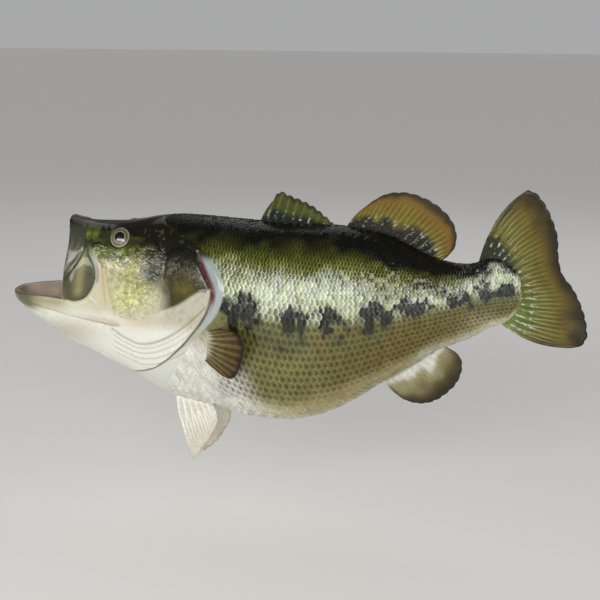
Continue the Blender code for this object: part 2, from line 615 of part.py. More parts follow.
def soft_dorsal():
    base = flat([(0.090, 0.1130), (0.130, 0.1080), (0.170, 0.0950), (0.206, 0.0790)])
    tips = flat([(0.114, 0.1435), (0.128, 0.1545), (0.142, 0.1625), (0.156, 0.1655), (0.170, 0.1655),
                 (0.190, 0.1600), (0.211, 0.1475), (0.224, 0.1330), (0.2300, 0.1150), (0.2275, 0.0990),
                 (0.219, 0.0880)])
    return fan("dorsal_fin_soft", base, tips, (-0.002, 0, 0.0015), (0, 0, 0), 11, 4,
               (0.0042, 0.0011), lambda s, t: 0.004 * t * sin(5 * s))


def anal_fin():
    base = flat([(0.140, -0.0660), (0.165, -0.0500), (0.190, -0.0340), (0.215, -0.0170)])
    tips = flat([(0.170, -0.0930), (0.182, -0.0965), (0.197, -0.0965), (0.211, -0.0915),
                 (0.225, -0.0810), (0.236, -0.0680), (0.2415, -0.0520), (0.240, -0.0380),
                 (0.233, -0.0300), (0.224, -0.0265)])
    return fan("anal_fin", base, tips, (-0.002, 0, -0.0015), (0, 0, 0), 10, 4,
               (0.0040, 0.0011), lambda s, t: 0.003 * t * sin(4 * s + 1))


def caudal_fin():
    base = flat([(0.258, 0.0830), (0.276, 0.0760), (0.292, 0.0610), (0.298, 0.0450),
                 (0.294, 0.0280), (0.284, 0.0130)])
    tips = flat([(0.3135, 0.1735), (0.321, 0.1715), (0.334, 0.1585), (0.344, 0.1400), (0.351, 0.1200),
                 (0.3530, 0.0950), (0.358, 0.0750), (0.372, 0.0560), (0.383, 0.0340), (0.3895, 0.0120),
                 (0.390, -0.0040), (0.384, -0.0120), (0.373, -0.0150)])
    return fan("caudal_fin", base, tips, (-0.0070, 0, 0.0095), (-0.003, 0, -0.0090), 13, 5,
               (0.0050, 0.0013), lambda s, t: 0.0035 * t * t * sin(6.5 * s))


def pectoral_fin(flank):
    """A fan that stands off the left flank; on the wall side it lies close along the body."""
    base = [(-0.071, -0.010), (-0.072, -0.022), (-0.073, -0.034), (-0.075, -0.046)]
    tips = [(-0.043, -0.0015), (-0.020, -0.0035), (-0.0105, -0.0085), (-0.0078, -0.0190),
            (-0.0105, -0.0340), (-0.0170, -0.0500), (-0.0240, -0.0610), (-0.0330, -0.0660),
            (-0.0430, -0.0645), (-0.0570, -0.0560)]

    def out(u, z):
        if flank > 0:
            return float(side(PECTORAL_ROOT_U, z)) - CUT + PECTORAL_SPREAD * max(u - PECTORAL_ROOT_U, 0.0)
        return -(float(side(u, z)) + PECTORAL_LIE)
    return fan("pectoral_fin", [(u, out(u, z) - flank * 0.004, z) for u, z in base],
               [(u, out(u, z), z) for u, z in tips], (0, 0, 0), (0, 0, 0), 10, 4,
               (0.0030, 0.0010), lambda s, t: flank * 0.0022 * sin(pi * t))


def pelvic_fin(flank):
    """A fin that hangs from the breast and spreads outward and back."""
    if flank > 0:
        base = [(-0.1290, 0.014, -0.1080), (-0.1050, 0.017, -0.1100), (-0.0800, 0.019, -0.1130)]
        tips = [(-0.1000, 0.036, -0.1870), (-0.0950, 0.035, -0.1840), (-0.0850, 0.032, -0.1720),
                (-0.0750, 0.028, -0.1560), (-0.0700, 0.024, -0.1420), (-0.0695, 0.022, -0.1350)]
        return fan("pelvic_fin", base, tips, (-0.004, 0, -0.001), (0.002, 0, 0), 6, 4,
                   (0.0042, 0.0014))
    base = [(-0.1240, -0.014, -0.1090), (-0.1020, -0.017, -0.1120), (-0.0800, -0.019, -0.1140)]
    tips = [(-0.1080, -0.038, -0.1985), (-0.0900, -0.036, -0.1820), (-0.0780, -0.031, -0.1640),
            (-0.0690, -0.027, -0.1480), (-0.0670, -0.024, -0.1380)]
    return fan("pelvic_fin", base, tips, (-0.003, 0, -0.001), (0.002, 0, 0), 6, 4,
               (0.0042, 0.0014))


def seat(fin, first, last):
    """Trims a fin's root to the body, CUT clear of it."""
    cut(fin, body_loft("seat", first, last, CUT), solver="MANIFOLD")
    return fin


def build_fins(dark, pale):
    trunk, breast, tail = (-0.130, 0.260), (-0.180, 0.040), (0.100, TAIL_FLESH_U)
    finish(seat(spiny_dorsal(), *trunk), "dorsal_fin_spiny", dark)
    finish(seat(soft_dorsal(), *trunk), "dorsal_fin_soft", dark)
    finish(seat(anal_fin(), *trunk), "anal_fin", dark)
    finish(seat(caudal_fin(), *tail), "caudal_fin", dark)
    for flank, where in ((1, "left"), (-1, "right")):
        finish(seat(pectoral_fin(flank), *breast), "pectoral_fin_" + where, dark)
        finish(seat(pelvic_fin(flank), *breast), "pelvic_fin_" + where, pale)


def build_mount(wood, steel):
    board = board_block("backing_board")
    half_w, half_h = HANGER_WIDTH / 2, HANGER_HEIGHT / 2

    def plate_box(name, grow, face):
        return slab(name, (-half_w - grow, half_w + grow), (-HANGER_DEPTH - grow, face),
                    (HANGER_Z - half_h - grow, HANGER_Z + half_h + grow))
    cut(board, plate_box("rebate", CUT, 0.002))
    finish(board, "backing_board", wood, 0.4)
    finish(plate_box("hanger_plate", 0.0, 0.0), "hanger_plate", steel, 0.4)


def build():
    for thing in list(bpy.data.objects):
        bpy.data.objects.remove(thing)
    skin = paint("skin", (0.16, 0.19, 0.06), 0.30)
    bone = paint("jaw_plate", (0.38, 0.40, 0.28), 0.28)
    gill = paint("gill_plate", (0.26, 0.27, 0.10), 0.28)
    mouth = paint("mouth", (0.42, 0.30, 0.25), 0.40)
    dark_fin = paint("fin", (0.20, 0.16, 0.04), 0.32)
    pale_fin = paint("fin_pale", (0.72, 0.70, 0.60), 0.32)
    glass = paint("eye_glass", (0.55, 0.47, 0.32), 0.05)
    wood = paint("board_wood", (0.50, 0.33, 0.18), 0.60)
    steel = paint("hanger_steel", (0.55, 0.55, 0.56), 0.35, 1.0)
    build_flesh(skin)
    build_plates(bone, gill)
    build_tongue(mouth)
    for flank, where in ((1, "left"), (-1, "right")):
        finish(eye_solid("eye", flank), "eye_" + where, glass, 1.0)
    build_fins(dark_fin, pale_fin)
    build_mount(wood, steel)


build()
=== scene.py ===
"""Looks of the mounted largemouth bass: one skin with solid scales, glass eyes, rayed fins, board."""
from math import cos, pi, sin

import bmesh
import bpy
import numpy as np
from mathutils import Matrix, Vector


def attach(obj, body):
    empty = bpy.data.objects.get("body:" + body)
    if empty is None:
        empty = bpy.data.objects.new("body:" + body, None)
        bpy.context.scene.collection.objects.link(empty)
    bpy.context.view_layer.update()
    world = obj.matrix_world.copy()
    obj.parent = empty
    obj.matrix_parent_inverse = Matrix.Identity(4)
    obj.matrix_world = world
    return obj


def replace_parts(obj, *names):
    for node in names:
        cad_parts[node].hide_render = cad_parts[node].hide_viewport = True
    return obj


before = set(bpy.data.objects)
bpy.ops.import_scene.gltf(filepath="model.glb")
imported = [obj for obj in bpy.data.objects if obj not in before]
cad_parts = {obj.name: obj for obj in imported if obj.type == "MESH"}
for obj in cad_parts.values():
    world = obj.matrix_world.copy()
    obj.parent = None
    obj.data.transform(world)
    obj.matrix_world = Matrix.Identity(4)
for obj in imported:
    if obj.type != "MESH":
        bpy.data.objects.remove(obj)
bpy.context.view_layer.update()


def mm(points):
    """Metres, from millimetres."""
    return np.array(points) / 1000


# ---------------------------------------------------------------- the frame's own lines
# The fish is drawn straight in (u, w, z): along the body, out of its middle plane toward the left
# flank, and up.  pose() bends it into the row frame.  Values are metres, except inside mm().
SIDES = (("left", 1), ("right", -1))
MIDPLANE_Y = -0.082
HEAD_TURN_FROM, HEAD_TURN_RADIUS = -0.06, 0.81
TAIL_TURN_FROM, TAIL_TURN_RADIUS = 0.06, 5.2
HEAD_ROLL, HEAD_ROLL_SPAN, HEAD_ROLL_Z = 0.052, (-0.11, -0.25), 0.02
BOARD_LEVEL = 0.038
JAW_TIP_U, SNOUT_U, TAIL_FLESH_U = -0.346, -0.269, 0.312
LIP_Z = 0.0255
EYE_U, EYE_Z, EYE_RADIUS, EYE_DOME_RADIUS = -0.1945, 0.1016, 0.0138, 0.0205
EYE_BULGE, EYE_THICKNESS, EYE_TILT_UP, EYE_TILT_FORWARD = 0.0046, 0.0095, 0.46, 0.06
MAXILLA_OUT = 0.0026
GILL_OUT_FRONT, GILL_OUT_REAR = 0.0008, 0.0038

BACK_LINE = mm([(-346, 40), (-325, 80), (-290, 112), (-270, 122.5), (-258, 119.5), (-240, 116),
    (-222, 115), (-200, 115.5), (-180, 118.5), (-155, 123.5), (-127, 126.2), (-95, 126), (-50, 124),
    (0, 122.2), (50, 122.2), (85, 121.5), (115, 119), (145, 113.5), (172, 102.5), (200, 89), (225, 82.5),
    (250, 82.5), (270, 89.5), (288, 88), (300, 79.5), (308, 68), (312, 52)])
BELLY_LINE = mm([(-346, 16), (-337, 7), (-324, -4.5), (-309, -16.5), (-294, -29), (-276, -40.5),
    (-245, -54.5), (-219, -68.5), (-196, -79.5), (-167, -97.5), (-130, -113), (-102, -118.5), (-60, -125),
    (-19, -130.2), (8, -131.5), (35, -129), (62, -121.3), (88, -110), (114, -94), (139, -76),
    (165, -60.2), (190, -43), (212, -27), (238, -16.2), (257, -7), (272, 3), (288, 9), (300, 18),
    (308, 31), (312, 46)])
HALF_WIDTH = mm([(-346, 6), (-341, 20), (-332, 30), (-318, 38.5), (-300, 45.5), (-278, 50.5), (-250, 54),
    (-210, 57.5), (-170, 62), (-120, 67), (-70, 71), (-20, 75), (30, 73.5), (80, 67), (130, 56),
    (180, 42), (220, 30), (250, 21.5), (275, 13.5), (295, 7), (312, 3)])
WIDEST_LEVEL = mm([(-346, 24), (-300, 20), (-262, 14), (-200, 12), (-150, 16), (-100, 12), (0, 0),
    (100, 6), (200, 28), (312, 49)])
UPPER_POWER = [(-0.346, 2.4), (-0.25, 2.6), (-0.2, 3.2), (-0.16, 2.8), (-0.12, 2.45),
               (-0.03, 2.15), (0.1, 2.0), (TAIL_FLESH_U, 2.0)]
LOWER_POWER = [(-0.346, 2.0), (-0.12, 2.0), (0.0, 2.15), (0.12, 2.0), (TAIL_FLESH_U, 2.0)]

MOUTH_FRONT_U, MOUTH_BACK_U = -0.3385, -0.15
MOUTH_ROOF = mm([(-338.5, 36), (-320, 70), (-290, 100), (-268, 112.5), (-255, 109.5), (-235, 102),
    (-210, 85), (-185, 70), (-165, 52), (-150, 25)])
MOUTH_FLOOR = mm([(-338.5, 18), (-330, 11), (-315, 4), (-298, -3), (-278, -10), (-250, -19), (-220, -29),
    (-190, -34), (-165, -27), (-150, 5)])
MOUTH_HALF_WIDTH = mm([(-338.5, 6), (-334, 18), (-325, 27), (-312, 34), (-297, 39), (-278, 43),
    (-250, 45.5), (-220, 44), (-190, 37), (-165, 25), (-150, 6)])
MOUTH_POWERS = (2.6, 2.3)
GAPE_FAR_U = -0.42
RIM_ROUNDING, RIM_ROUNDING_WIDTH, RIM_ROUNDING_MOST = 0.006, 0.04, 2.2
RIM_LEAN, RIM_LEAN_TOP, RIM_LEAN_SPAN = 0.013, 0.112, 0.07

# ---------------------------------------------------------------- lines drawn on the skin, (u, z)
MAXILLA_OUTLINE = mm([(-241, 90), (-234.5, 79), (-228.5, 66), (-226.8, 54), (-232, 38), (-240, 27.5),
    (-253, 21.8), (-266, 22.8), (-273.5, 28), (-275.2, 38), (-273.5, 48), (-266, 57), (-254, 69),
    (-246, 81)])
GILL_OUTLINE = mm([(-121, 88), (-104, 94), (-88, 87), (-78.5, 73), (-70, 59), (-62, 46), (-59.5, 36),
    (-62.5, 22), (-73, 3), (-91, -18), (-113, -39), (-135, -56), (-153, -65.5), (-170, -62), (-180, -43),
    (-174, -22), (-158, -8), (-141, 0), (-131, 12), (-127.5, 27), (-129.5, 42), (-130.8, 56),
    (-128.5, 72)])
GILL_FREE_EDGE = np.vstack([mm([(-108, 95.5)]), GILL_OUTLINE[2:12],
    mm([(-153, -66.5), (-176, -74), (-200, -78.5)])])
PREOPERCLE = mm([(-122, 94), (-128.5, 77), (-131, 60), (-130, 44), (-128, 29), (-131, 14), (-140, 1),
    (-158, -7), (-180, -8), (-203, -7)])
INTEROPERCLE = mm([(-206, -14), (-188, -26), (-166, -33), (-150, -31), (-128, -23), (-98, -5), (-66, 21)])
OPERCLE_FOOT = mm([(-64, 40), (-76, 39), (-91, 31), (-106, 22), (-125, 15)])
GILL_FOLDS = mm((5.8, 12.5, 20, 28))         # distances below the interopercle's edge
MANDIBLE_GROOVE = mm([(-322, 16), (-306, 11), (-286, 7), (-264, 2), (-243, -2), (-222, -6), (-202, -10)])
NEAR_LIP = mm([(-344, 26), (-326, 27), (-305, 27), (-286, 25.5), (-270, 23.5)])
PREMAXILLA_BACK = mm([(-252, 121), (-244, 110), (-242, 100), (-243, 90), (-250, 76), (-260, 61.5),
    (-268, 51), (-276, 43)])
CROWN_EDGE = mm([(-270, 110), (-235, 106), (-215, 106), (-195, 108), (-175, 96), (-150, 88), (-120, 72),
    (-90, 88)])
NOSTRILS = mm([(-219.5, 108.5), (-212.5, 109)])
SCALE_FRONT = mm([(-160, -130), (-140, -96), (-126, -74), (-110, -52), (-94, -31), (-77, -13), (-60, 4),
    (-48, 24), (-45, 43), (-50, 60), (-60, 74), (-74, 86), (-92, 97), (-112, 106), (-138, 117),
    (-150, 135)])
STRIPE = mm([(-60, 30), (-44, 27), (-20, 23), (8, 21), (39, 18), (86, 17), (135, 22), (172, 28),
    (195, 32), (223, 39), (263, 49), (300, 56)])
LATERAL_LINE = mm([(-160, 90), (-100, 78), (-60, 66), (-20, 56), (30, 47), (80, 42), (130, 42), (180, 45),
    (220, 50), (260, 56), (313, 60)])
CHEEK_OUTLINE = mm([(-236, 100), (-220, 99), (-209, 86), (-192, 81), (-176, 91), (-155, 100), (-130, 92),
    (-133, 70), (-134, 45), (-133, 22), (-146, 6), (-176, 0), (-198, 6), (-206, 30), (-212, 55),
    (-226, 80)])
OPERCLE_OUTLINE = mm([(-119, 86), (-104, 89), (-91, 81), (-83, 68), (-76, 55), (-70, 46), (-85, 39),
    (-103, 29), (-119, 22), (-123, 35), (-125, 55)])
# blotches of the broken stripe: middle, half length, half height above and below its line
BLOTCHES = mm([(-43, 10, 8, 16), (-17, 20, 15, 28), (40, 20, 8, 27), (90, 21, 10, 20), (139, 21, 14, 18),
    (187, 24, 9, 11), (235, 21, 10, 10), (267, 13, 12, 10), (292, 12, 8, 8)])

VOXEL = 0.0014                  # of the remeshed skin
COAT_DEPTH = 0.001              # the skin lies this far under the frame where it has scales
PLATE_THICKNESS = 0.00024       # of a scale
# width of the rows of scales along the body
SCALE_ROW = mm([(-170, 5.2), (-100, 6.6), (-40, 8), (30, 8.3), (100, 7.5), (180, 5.6), (250, 4.4),
    (313, 3.7)])
SCALE_ROWS = range(-30, 34)     # counted down the flank from the lateral line
ANCHOR_U = 0.06                 # where the rows of scales stand exactly staggered
# grid of a flank scale, from root to edge and across, and of a head scale from root to edge
SCALE_P = np.array([0.0, 0.44, 0.58, 0.7, 0.82, 0.93, 1.0])
SCALE_Q = np.array([-1.0, -0.72, -0.38, 0.0, 0.38, 0.72, 1.0])
CHEEK_P = np.array([0.0, 0.4, 0.62, 0.8, 0.92, 1.0])


# ---------------------------------------------------------------- curves and the pose
def smooth_step(t):
    t = np.clip(t, 0.0, 1.0)
    return t * t * (3 - 2 * t)


def rise(x, start, width):
    """0 up to start, then smoothly up to 1 over this width."""
    return smooth_step((x - start) / width)


def fall(x, start, width):
    """0 from start on, and smoothly up to 1 over this width below it."""
    return smooth_step((start - x) / width)


def within(depth, blur):
    """1 inside an edge and 0 outside it, blurred over this width."""
    return smooth_step(0.5 + depth / blur)


def ridge(distance, width):
    return np.exp(-(distance / width) ** 2)


def blob(u, z, middle, radii):
    return np.exp(-((u - middle[0]) / radii[0]) ** 2 - ((z - middle[1]) / radii[1]) ** 2)


def column(values):
    """Values (n), ready to be spread over n grids."""
    return np.asarray(values)[:, None, None]


def curve(points):
    """A smooth function through (position, value) points."""
    x, y = np.array(points, float).T
    gap = np.diff(x)
    slope = np.diff(y) / gap
    m = np.empty(len(x))
    m[1:-1] = (slope[:-1] * gap[1:] + slope[1:] * gap[:-1]) / (x[2:] - x[:-2])
    m[0], m[-1] = slope[0], slope[-1]

    def value(t):
        i = np.clip(np.searchsorted(x, t) - 1, 0, len(x) - 2)
        s = np.clip((t - x[i]) / gap[i], 0.0, 1.0)
        return (y[i] * (1 + 2 * s) * (1 - s) ** 2 + m[i] * gap[i] * s * (1 - s) ** 2
                + y[i + 1] * s * s * (3 - 2 * s) + m[i + 1] * gap[i] * s * s * (s - 1))
    return value


def path_points(points, count, closed=False):
    """count points, evenly spaced along a smooth curve through the given points."""
    p = np.array(points, float)
    if closed:
        p = np.vstack([p[-2:], p, p[:3]])
    length = np.concatenate([[0], np.cumsum(np.linalg.norm(np.diff(p, axis=0), axis=1))])
    first, last = (length[2], length[-3]) if closed else (0.0, length[-1])
    fine = np.linspace(first, last, 40 * len(p))
    dense = np.stack([curve(np.stack([length, c], 1))(fine) for c in p.T], 1)
    run = np.concatenate([[0], np.cumsum(np.linalg.norm(np.diff(dense, axis=0), axis=1))])
    places = np.linspace(0, run[-1], count + 1)[:-1] if closed else np.linspace(0, run[-1], count)
    return np.stack([np.interp(places, run, c) for c in dense.T], 1)


def pose(points):
    """Row-frame places of the straight fish's (u, w, z) points."""
    u, w, z = np.asarray(points, float).reshape(-1, 3).T
    start, end = HEAD_ROLL_SPAN
    roll = HEAD_ROLL * fall(u, start, start - end)
    up = z - HEAD_ROLL_Z
    w, z = w * np.cos(roll) + up * np.sin(roll), HEAD_ROLL_Z + up * np.cos(roll) - w * np.sin(roll)
    head = np.maximum(HEAD_TURN_FROM - u, 0) / HEAD_TURN_RADIUS
    tail = np.maximum(u - TAIL_TURN_FROM, 0) / TAIL_TURN_RADIUS
    x = (np.clip(u, HEAD_TURN_FROM, TAIL_TURN_FROM) - HEAD_TURN_RADIUS * np.sin(head)
         + TAIL_TURN_RADIUS * np.sin(tail) + w * (np.sin(head) + np.sin(tail)))
    y = (MIDPLANE_Y - HEAD_TURN_RADIUS * (1 - np.cos(head)) + TAIL_TURN_RADIUS * (1 - np.cos(tail))
         - w * np.cos(head + tail))
    return np.stack([x, y, z - BOARD_LEVEL], -1)


back, belly, half_width = curve(BACK_LINE), curve(BELLY_LINE), curve(HALF_WIDTH)
level, upper_power, lower_power = curve(WIDEST_LEVEL), curve(UPPER_POWER), curve(LOWER_POWER)
mouth_roof, mouth_floor = curve(MOUTH_ROOF), curve(MOUTH_FLOOR)
mouth_half_width = curve(MOUTH_HALF_WIDTH)
stripe_z, lateral_z, row_height = curve(STRIPE), curve(LATERAL_LINE), curve(SCALE_ROW)
scale_front = curve(SCALE_FRONT[:, ::-1])


def section(u, up):
    """Power and half height of the body's section at u, above or below its widest level."""
    height = np.where(up, back(u) - level(u), level(u) - belly(u))
    return np.where(up, upper_power(u), lower_power(u)), height


def side(u, z):
    """Distance of the left flank's surface from the middle plane."""
    power, height = section(u, z > level(u))
    share = np.clip(np.abs(z - level(u)) / height, 0, 0.999)
    return half_width(u) * (1 - share ** power) ** (1 / power)


def tone(red, green, blue):
    """Linear colour of 8-bit sRGB values."""
    c = np.array([red, green, blue]) / 255
    return np.where(c < 0.04045, c / 12.92, ((c + 0.055) / 1.055) ** 2.4)


def mix(base, colour, amount):
    """base (or bases) blended toward a colour (or colours) by amount."""
    return base + (np.asarray(colour) - base) * np.asarray(amount)[..., None]


def value_noise(p, size, seed):
    """Smooth noise in 0..1 at points p (n, k), with features about size across."""
    q = np.asarray(p, float) / size + 1000.0
    cell = np.floor(q).astype(np.int64)
    f = q - cell
    f = f * f * (3 - 2 * f)
    total = 0.0
    dims = q.shape[1]
    for corner in range(2 ** dims):
        bits = [(corner >> d) & 1 for d in range(dims)]
        h = np.full(len(q), seed * 374761393, np.int64)
        weight = 1.0
        for d, bit in enumerate(bits):
            h = (h ^ ((cell[:, d] + bit) * (668265263 + 2246822519 * d))) & 0xFFFFFFFF
            h = ((h ^ (h >> 15)) * 2246822519) & 0xFFFFFFFF
            weight = weight * (f[:, d] if bit else 1 - f[:, d])
        h = ((h ^ (h >> 13)) * 3266489917) & 0xFFFFFFFF
        total = total + weight * ((h ^ (h >> 16)) & 0xFFFF) / 65535.0
    return total


def near_line(u, z, points, count=90, closed=False):
    """Distance of each (u, z) to a smooth line, the share along it, and the side (+1 on its left)."""
    line = path_points(points, count, closed)
    if closed:
        line = np.vstack([line, line[:1]])
    a, b = line[:-1], line[1:]
    d = b - a
    best = np.full(len(u), 1e9)
    share, side_of = np.zeros(len(u)), np.zeros(len(u))
    for i in range(len(a)):
        ru, rz = u - a[i, 0], z - a[i, 1]
        t = np.clip((ru * d[i, 0] + rz * d[i, 1]) / (d[i] @ d[i]), 0, 1)
        gap = np.hypot(ru - t * d[i, 0], rz - t * d[i, 1])
        closer = gap < best
        best = np.where(closer, gap, best)
        share = np.where(closer, (i + t) / len(a), share)
        side_of = np.where(closer, np.sign(d[i, 0] * rz - d[i, 1] * ru), side_of)
    return best, share, side_of


def inside_depth(u, z, outline, count=90):
    """Depth inside a closed outline, negative outside it."""
    gap, _, _ = near_line(u, z, outline, count, True)
    line = path_points(outline, count, True)
    odd = np.zeros(len(u), bool)
    for (au, az), (bu, bz) in zip(line, np.roll(line, -1, 0)):
        if az != bz:
            odd ^= ((az > z) != (bz > z)) & (u < (bu - au) * (z - az) / (bz - az) + au)
    return np.where(odd, gap, -gap)


# ---------------------------------------------------------------- relief of the head
def eye_axis(flank):
    axis = np.array([-sin(EYE_TILT_FORWARD), flank * cos(EYE_TILT_UP), sin(EYE_TILT_UP)])
    return axis / np.linalg.norm(axis)


EYE_SURFACE = np.array([EYE_U, float(side(np.float64(EYE_U), np.float64(EYE_Z))), EYE_Z])


def eye_distance(u, z):
    """Distance from the left eye's axis of flank points."""
    p = np.stack([u, side(u, z), z], -1) - EYE_SURFACE
    axis = eye_axis(1)
    return np.linalg.norm(p - (p @ axis)[:, None] * axis, axis=1)


def nostril_distances(u, z):
    return [np.hypot(u - nu, (z - nz) * 0.8) for nu, nz in NOSTRILS]


def head_lines(u, z):
    """Every distance that the head's relief and colours share, for flank points ahead of the trunk."""
    d = {"eye": eye_distance(u, z), "maxilla": inside_depth(u, z, MAXILLA_OUTLINE),
         "gill": inside_depth(u, z, GILL_OUTLINE)}
    for name, line in (("free_edge", GILL_FREE_EDGE), ("preopercle", PREOPERCLE),
                       ("interopercle", INTEROPERCLE), ("foot", OPERCLE_FOOT),
                       ("mandible", MANDIBLE_GROOVE), ("lip", NEAR_LIP), ("premaxilla", PREMAXILLA_BACK)):
        d[name], d[name + "_share"], d[name + "_side"] = near_line(u, z, line)
    d["strip"] = d["premaxilla"] * np.where(d["premaxilla_side"] < 0, 1.0, -1.0)
    d["slit"] = (d["free_edge_side"] > 0) & (d["gill"] < 0)
    return d


def cheek_relief(u, z, d):
    """The eye's socket, cheek muscle, lachrymal, and the creased membrane behind the jaw's paddle."""
    h = -0.0042 * fall(d["eye"], EYE_RADIUS - 0.0004, 0.0012)
    h -= 0.0001 * ridge(d["eye"] - EYE_RADIUS - 0.007, 0.004)
    h += 0.0022 * blob(u, z, (-0.166, 0.04), (0.026, 0.032))
    h += 0.001 * blob(u, z, (-0.226, 0.098), (0.012, 0.012))
    valley = -0.2215 + 0.01 * fall(z, 0.03, 0.05)
    h -= 0.0017 * ridge(u - valley, 0.007) * fall(z, 0.092, 0.02) * rise(z, -0.012, 0.02)
    for turn, (cu, cz) in enumerate(mm([(-229, 17), (-223.5, 13.5), (-218, 9)])):
        crease, _, _ = near_line(u, z, [(cu - 0.008, cz + 0.01), (cu, cz), (cu + 0.004, cz - 0.01)], 12)
        h += (0.0009 - 0.0001 * turn) * ridge(crease, 0.0016)
    return h


def jaw_relief(u, z, d):
    """Paddle and rounded front strip of the upper jaw, rolled lip and bone edge of the lower one."""
    paddle = d["maxilla"]
    fade = fall(z, 0.097, 0.02)
    dome = 0.8 + 0.3 * rise(paddle, 0, 0.0115) - 0.2 * fall(z, 0.075, 0.03)
    h = MAXILLA_OUT * fade * within(paddle, 0.005) * dome
    h -= 0.001 * fade * ridge(paddle + 0.0026, 0.0015)
    h += 0.0021 * blob(u, z, (-0.259, 0.038), (0.008, 0.013))
    on_strip = within(d["strip"], 0.002) * fall(u, -0.235, 0.004) * (z > 0.038)
    h += 0.0012 * on_strip * (1 - within(paddle, 0.003))
    h -= 0.0009 * ridge(d["premaxilla"], 0.0011) * (z > 0.04)
    h += 0.0009 * ridge(d["lip"] - 0.0022, 0.0024) * (u < -0.262)
    below = d["mandible_side"] < 0
    h += 0.0011 * ridge(d["mandible"] - 0.0018, 0.0022) * ~below
    return h - 0.0014 * ridge(d["mandible"] - 0.0008, 0.0016) * below


def gill_relief(u, z, d):
    """The preopercle's ridge, the gill cover raised toward its free edge, the slit and the folds."""
    behind = d["preopercle_side"] > 0
    bony = 0.25 + 0.25 * fall(z, 0.052, 0.02)
    h = 0.001 * bony * ridge(d["preopercle"], 0.0034) * ~behind
    h -= 0.0007 * bony * ridge(d["preopercle"] - 0.0022, 0.0022) * behind
    share = rise(u - 0.9 * np.minimum(z, 0.0), -0.135, 0.06)
    lift = GILL_OUT_FRONT + (GILL_OUT_REAR - GILL_OUT_FRONT) * share
    h += lift * within(d["gill"], 0.0022 + 0.012 * fall(u, -0.094, 0.016) * (z > 0.0))
    open_part = rise(z, 0.01, 0.02)
    gap = d["free_edge"] - 0.0012 - 0.0014 * open_part
    slit = ridge(gap, 0.0011 + 0.001 * open_part) * d["slit"] * fall(z, 0.09, 0.008)
    h -= (0.0008 + 0.0026 * open_part) * slit
    h += 0.0006 * ridge(d["foot"], 0.0016) * (d["gill"] > 0)
    h -= 0.0012 * ridge(d["interopercle"], 0.0015) * (d["interopercle_share"] < 0.985)
    span = (d["interopercle_side"] < 0) * rise(u, -0.215, 0.02) * fall(u, -0.078, 0.03)
    for line in GILL_FOLDS:
        gap = d["interopercle"] - line
        h += span * (0.0006 * ridge(gap + 0.002, 0.0018) - 0.001 * ridge(gap, 0.001))
    # the collar of smooth skin between the slit and the first scales
    return h + 0.0008 * ridge(scale_front(z) - u - 0.004, 0.004) * fall(z, 0.085, 0.025)


def relief(u, z, d):
    """Height of the head's forms over the flank."""
    h = cheek_relief(u, z, d) + jaw_relief(u, z, d) + gill_relief(u, z, d)
    for gap in nostril_distances(u, z):
        h += 0.0007 * ridge(gap - 0.0022, 0.001) - 0.0016 * ridge(gap, 0.0014)
    return h


def scaled_share(u, z):
    return rise(u, scale_front(z), 0.003 + 0.008 * rise(z, 0.08, 0.02))


# ---------------------------------------------------------------- colours
BLACK_GREEN, OLIVE = tone(20, 21, 12), tone(80, 86, 30)
# the pale band's colour is pale green made lighter, standing in partly for a painted highlight along the
# upper flank
GOLD, BAND_AND_HIGHLIGHT = tone(132, 134, 46), tone(200, 212, 172)
INK, LOWER = tone(14, 15, 14), tone(130, 126, 74)
LOWER_TAIL, CREAM = tone(114, 102, 48), tone(196, 190, 154)
WHITE, BROWN_BLACK = tone(224, 224, 213), tone(34, 23, 14)
CRIMSON, SPOT = tone(104, 14, 30), tone(38, 32, 10)
LINING, PEARL = tone(158, 148, 134), tone(160, 169, 170)


def band_top(u):
    """Top of the pale band, which is partly painted highlight, as a share of the height from the stripe to
    the back.
    """
    return 0.52 - 0.2 * rise(u, 0.08, 0.09) + 0.34 * rise(u, 0.225, 0.04)


def lower_colour(u, p3, depth, share):
    """Under the stripe: bronze with green clouds, paling downward; share is 1 on the belly's line."""
    c = mix(LOWER, LOWER_TAIL, rise(u, 0.03, 0.12))
    c = mix(c, tone(132, 140, 92), 0.55 * fall(depth, 0.022, 0.014))
    bronze = rise(value_noise(p3, 0.02, 6), 0.6, 0.2) * rise(u, 0.02, 0.05)
    c = mix(c, tone(128, 100, 46), 0.16 * bronze)
    green = rise(value_noise(p3, 0.024, 7), 0.45, 0.3) * fall(depth, 0.06, 0.03)
    c = mix(c, tone(92, 106, 62), 0.45 * green)
    c = mix(c, tone(66, 78, 44), 0.55 * blob(u, depth, (0.01, 0.036), (0.036, 0.016)))
    c = mix(c, tone(162, 152, 106), 0.7 * rise(share, 0.66, 0.2))
    c = mix(c, CREAM, rise(share, 0.66 + 0.24 * rise(u, -0.03, 0.14), 0.24))
    c = mix(c, tone(190, 194, 176), 0.8 * rise(share, 0.78, 0.14) * rise(u, 0.16, 0.05))
    front = fall(u - 0.42 * np.maximum(depth - 0.01, 0), -0.03, 0.05)
    return mix(c, WHITE, front * rise(depth, 0.028, 0.04))


def stripe_ink(u, z):
    """Ink of the broken stripe: ragged blotches, one after another."""
    ragged = value_noise(np.stack([u, z * 0.45], -1), 0.0036, 11)
    broad = value_noise(np.stack([u, z * 0.7], -1), 0.01, 12)
    ink = np.full(len(u), -2.0)
    for middle, long, over, under in BLOTCHES:
        up = z - stripe_z(middle)
        tall = np.where(up > 0, over, under)
        reach = (np.abs((u - middle) / long) ** 2.1 + np.abs(up / tall) ** 1.7) ** 0.5
        ink = np.maximum(ink, 1.12 - reach)
    ink = ink + (ragged - 0.5) * 1.1 + (broad - 0.5) * 0.6
    return 0.96 * smooth_step(ink / 0.22) * rise(u, -0.058, 0.008)


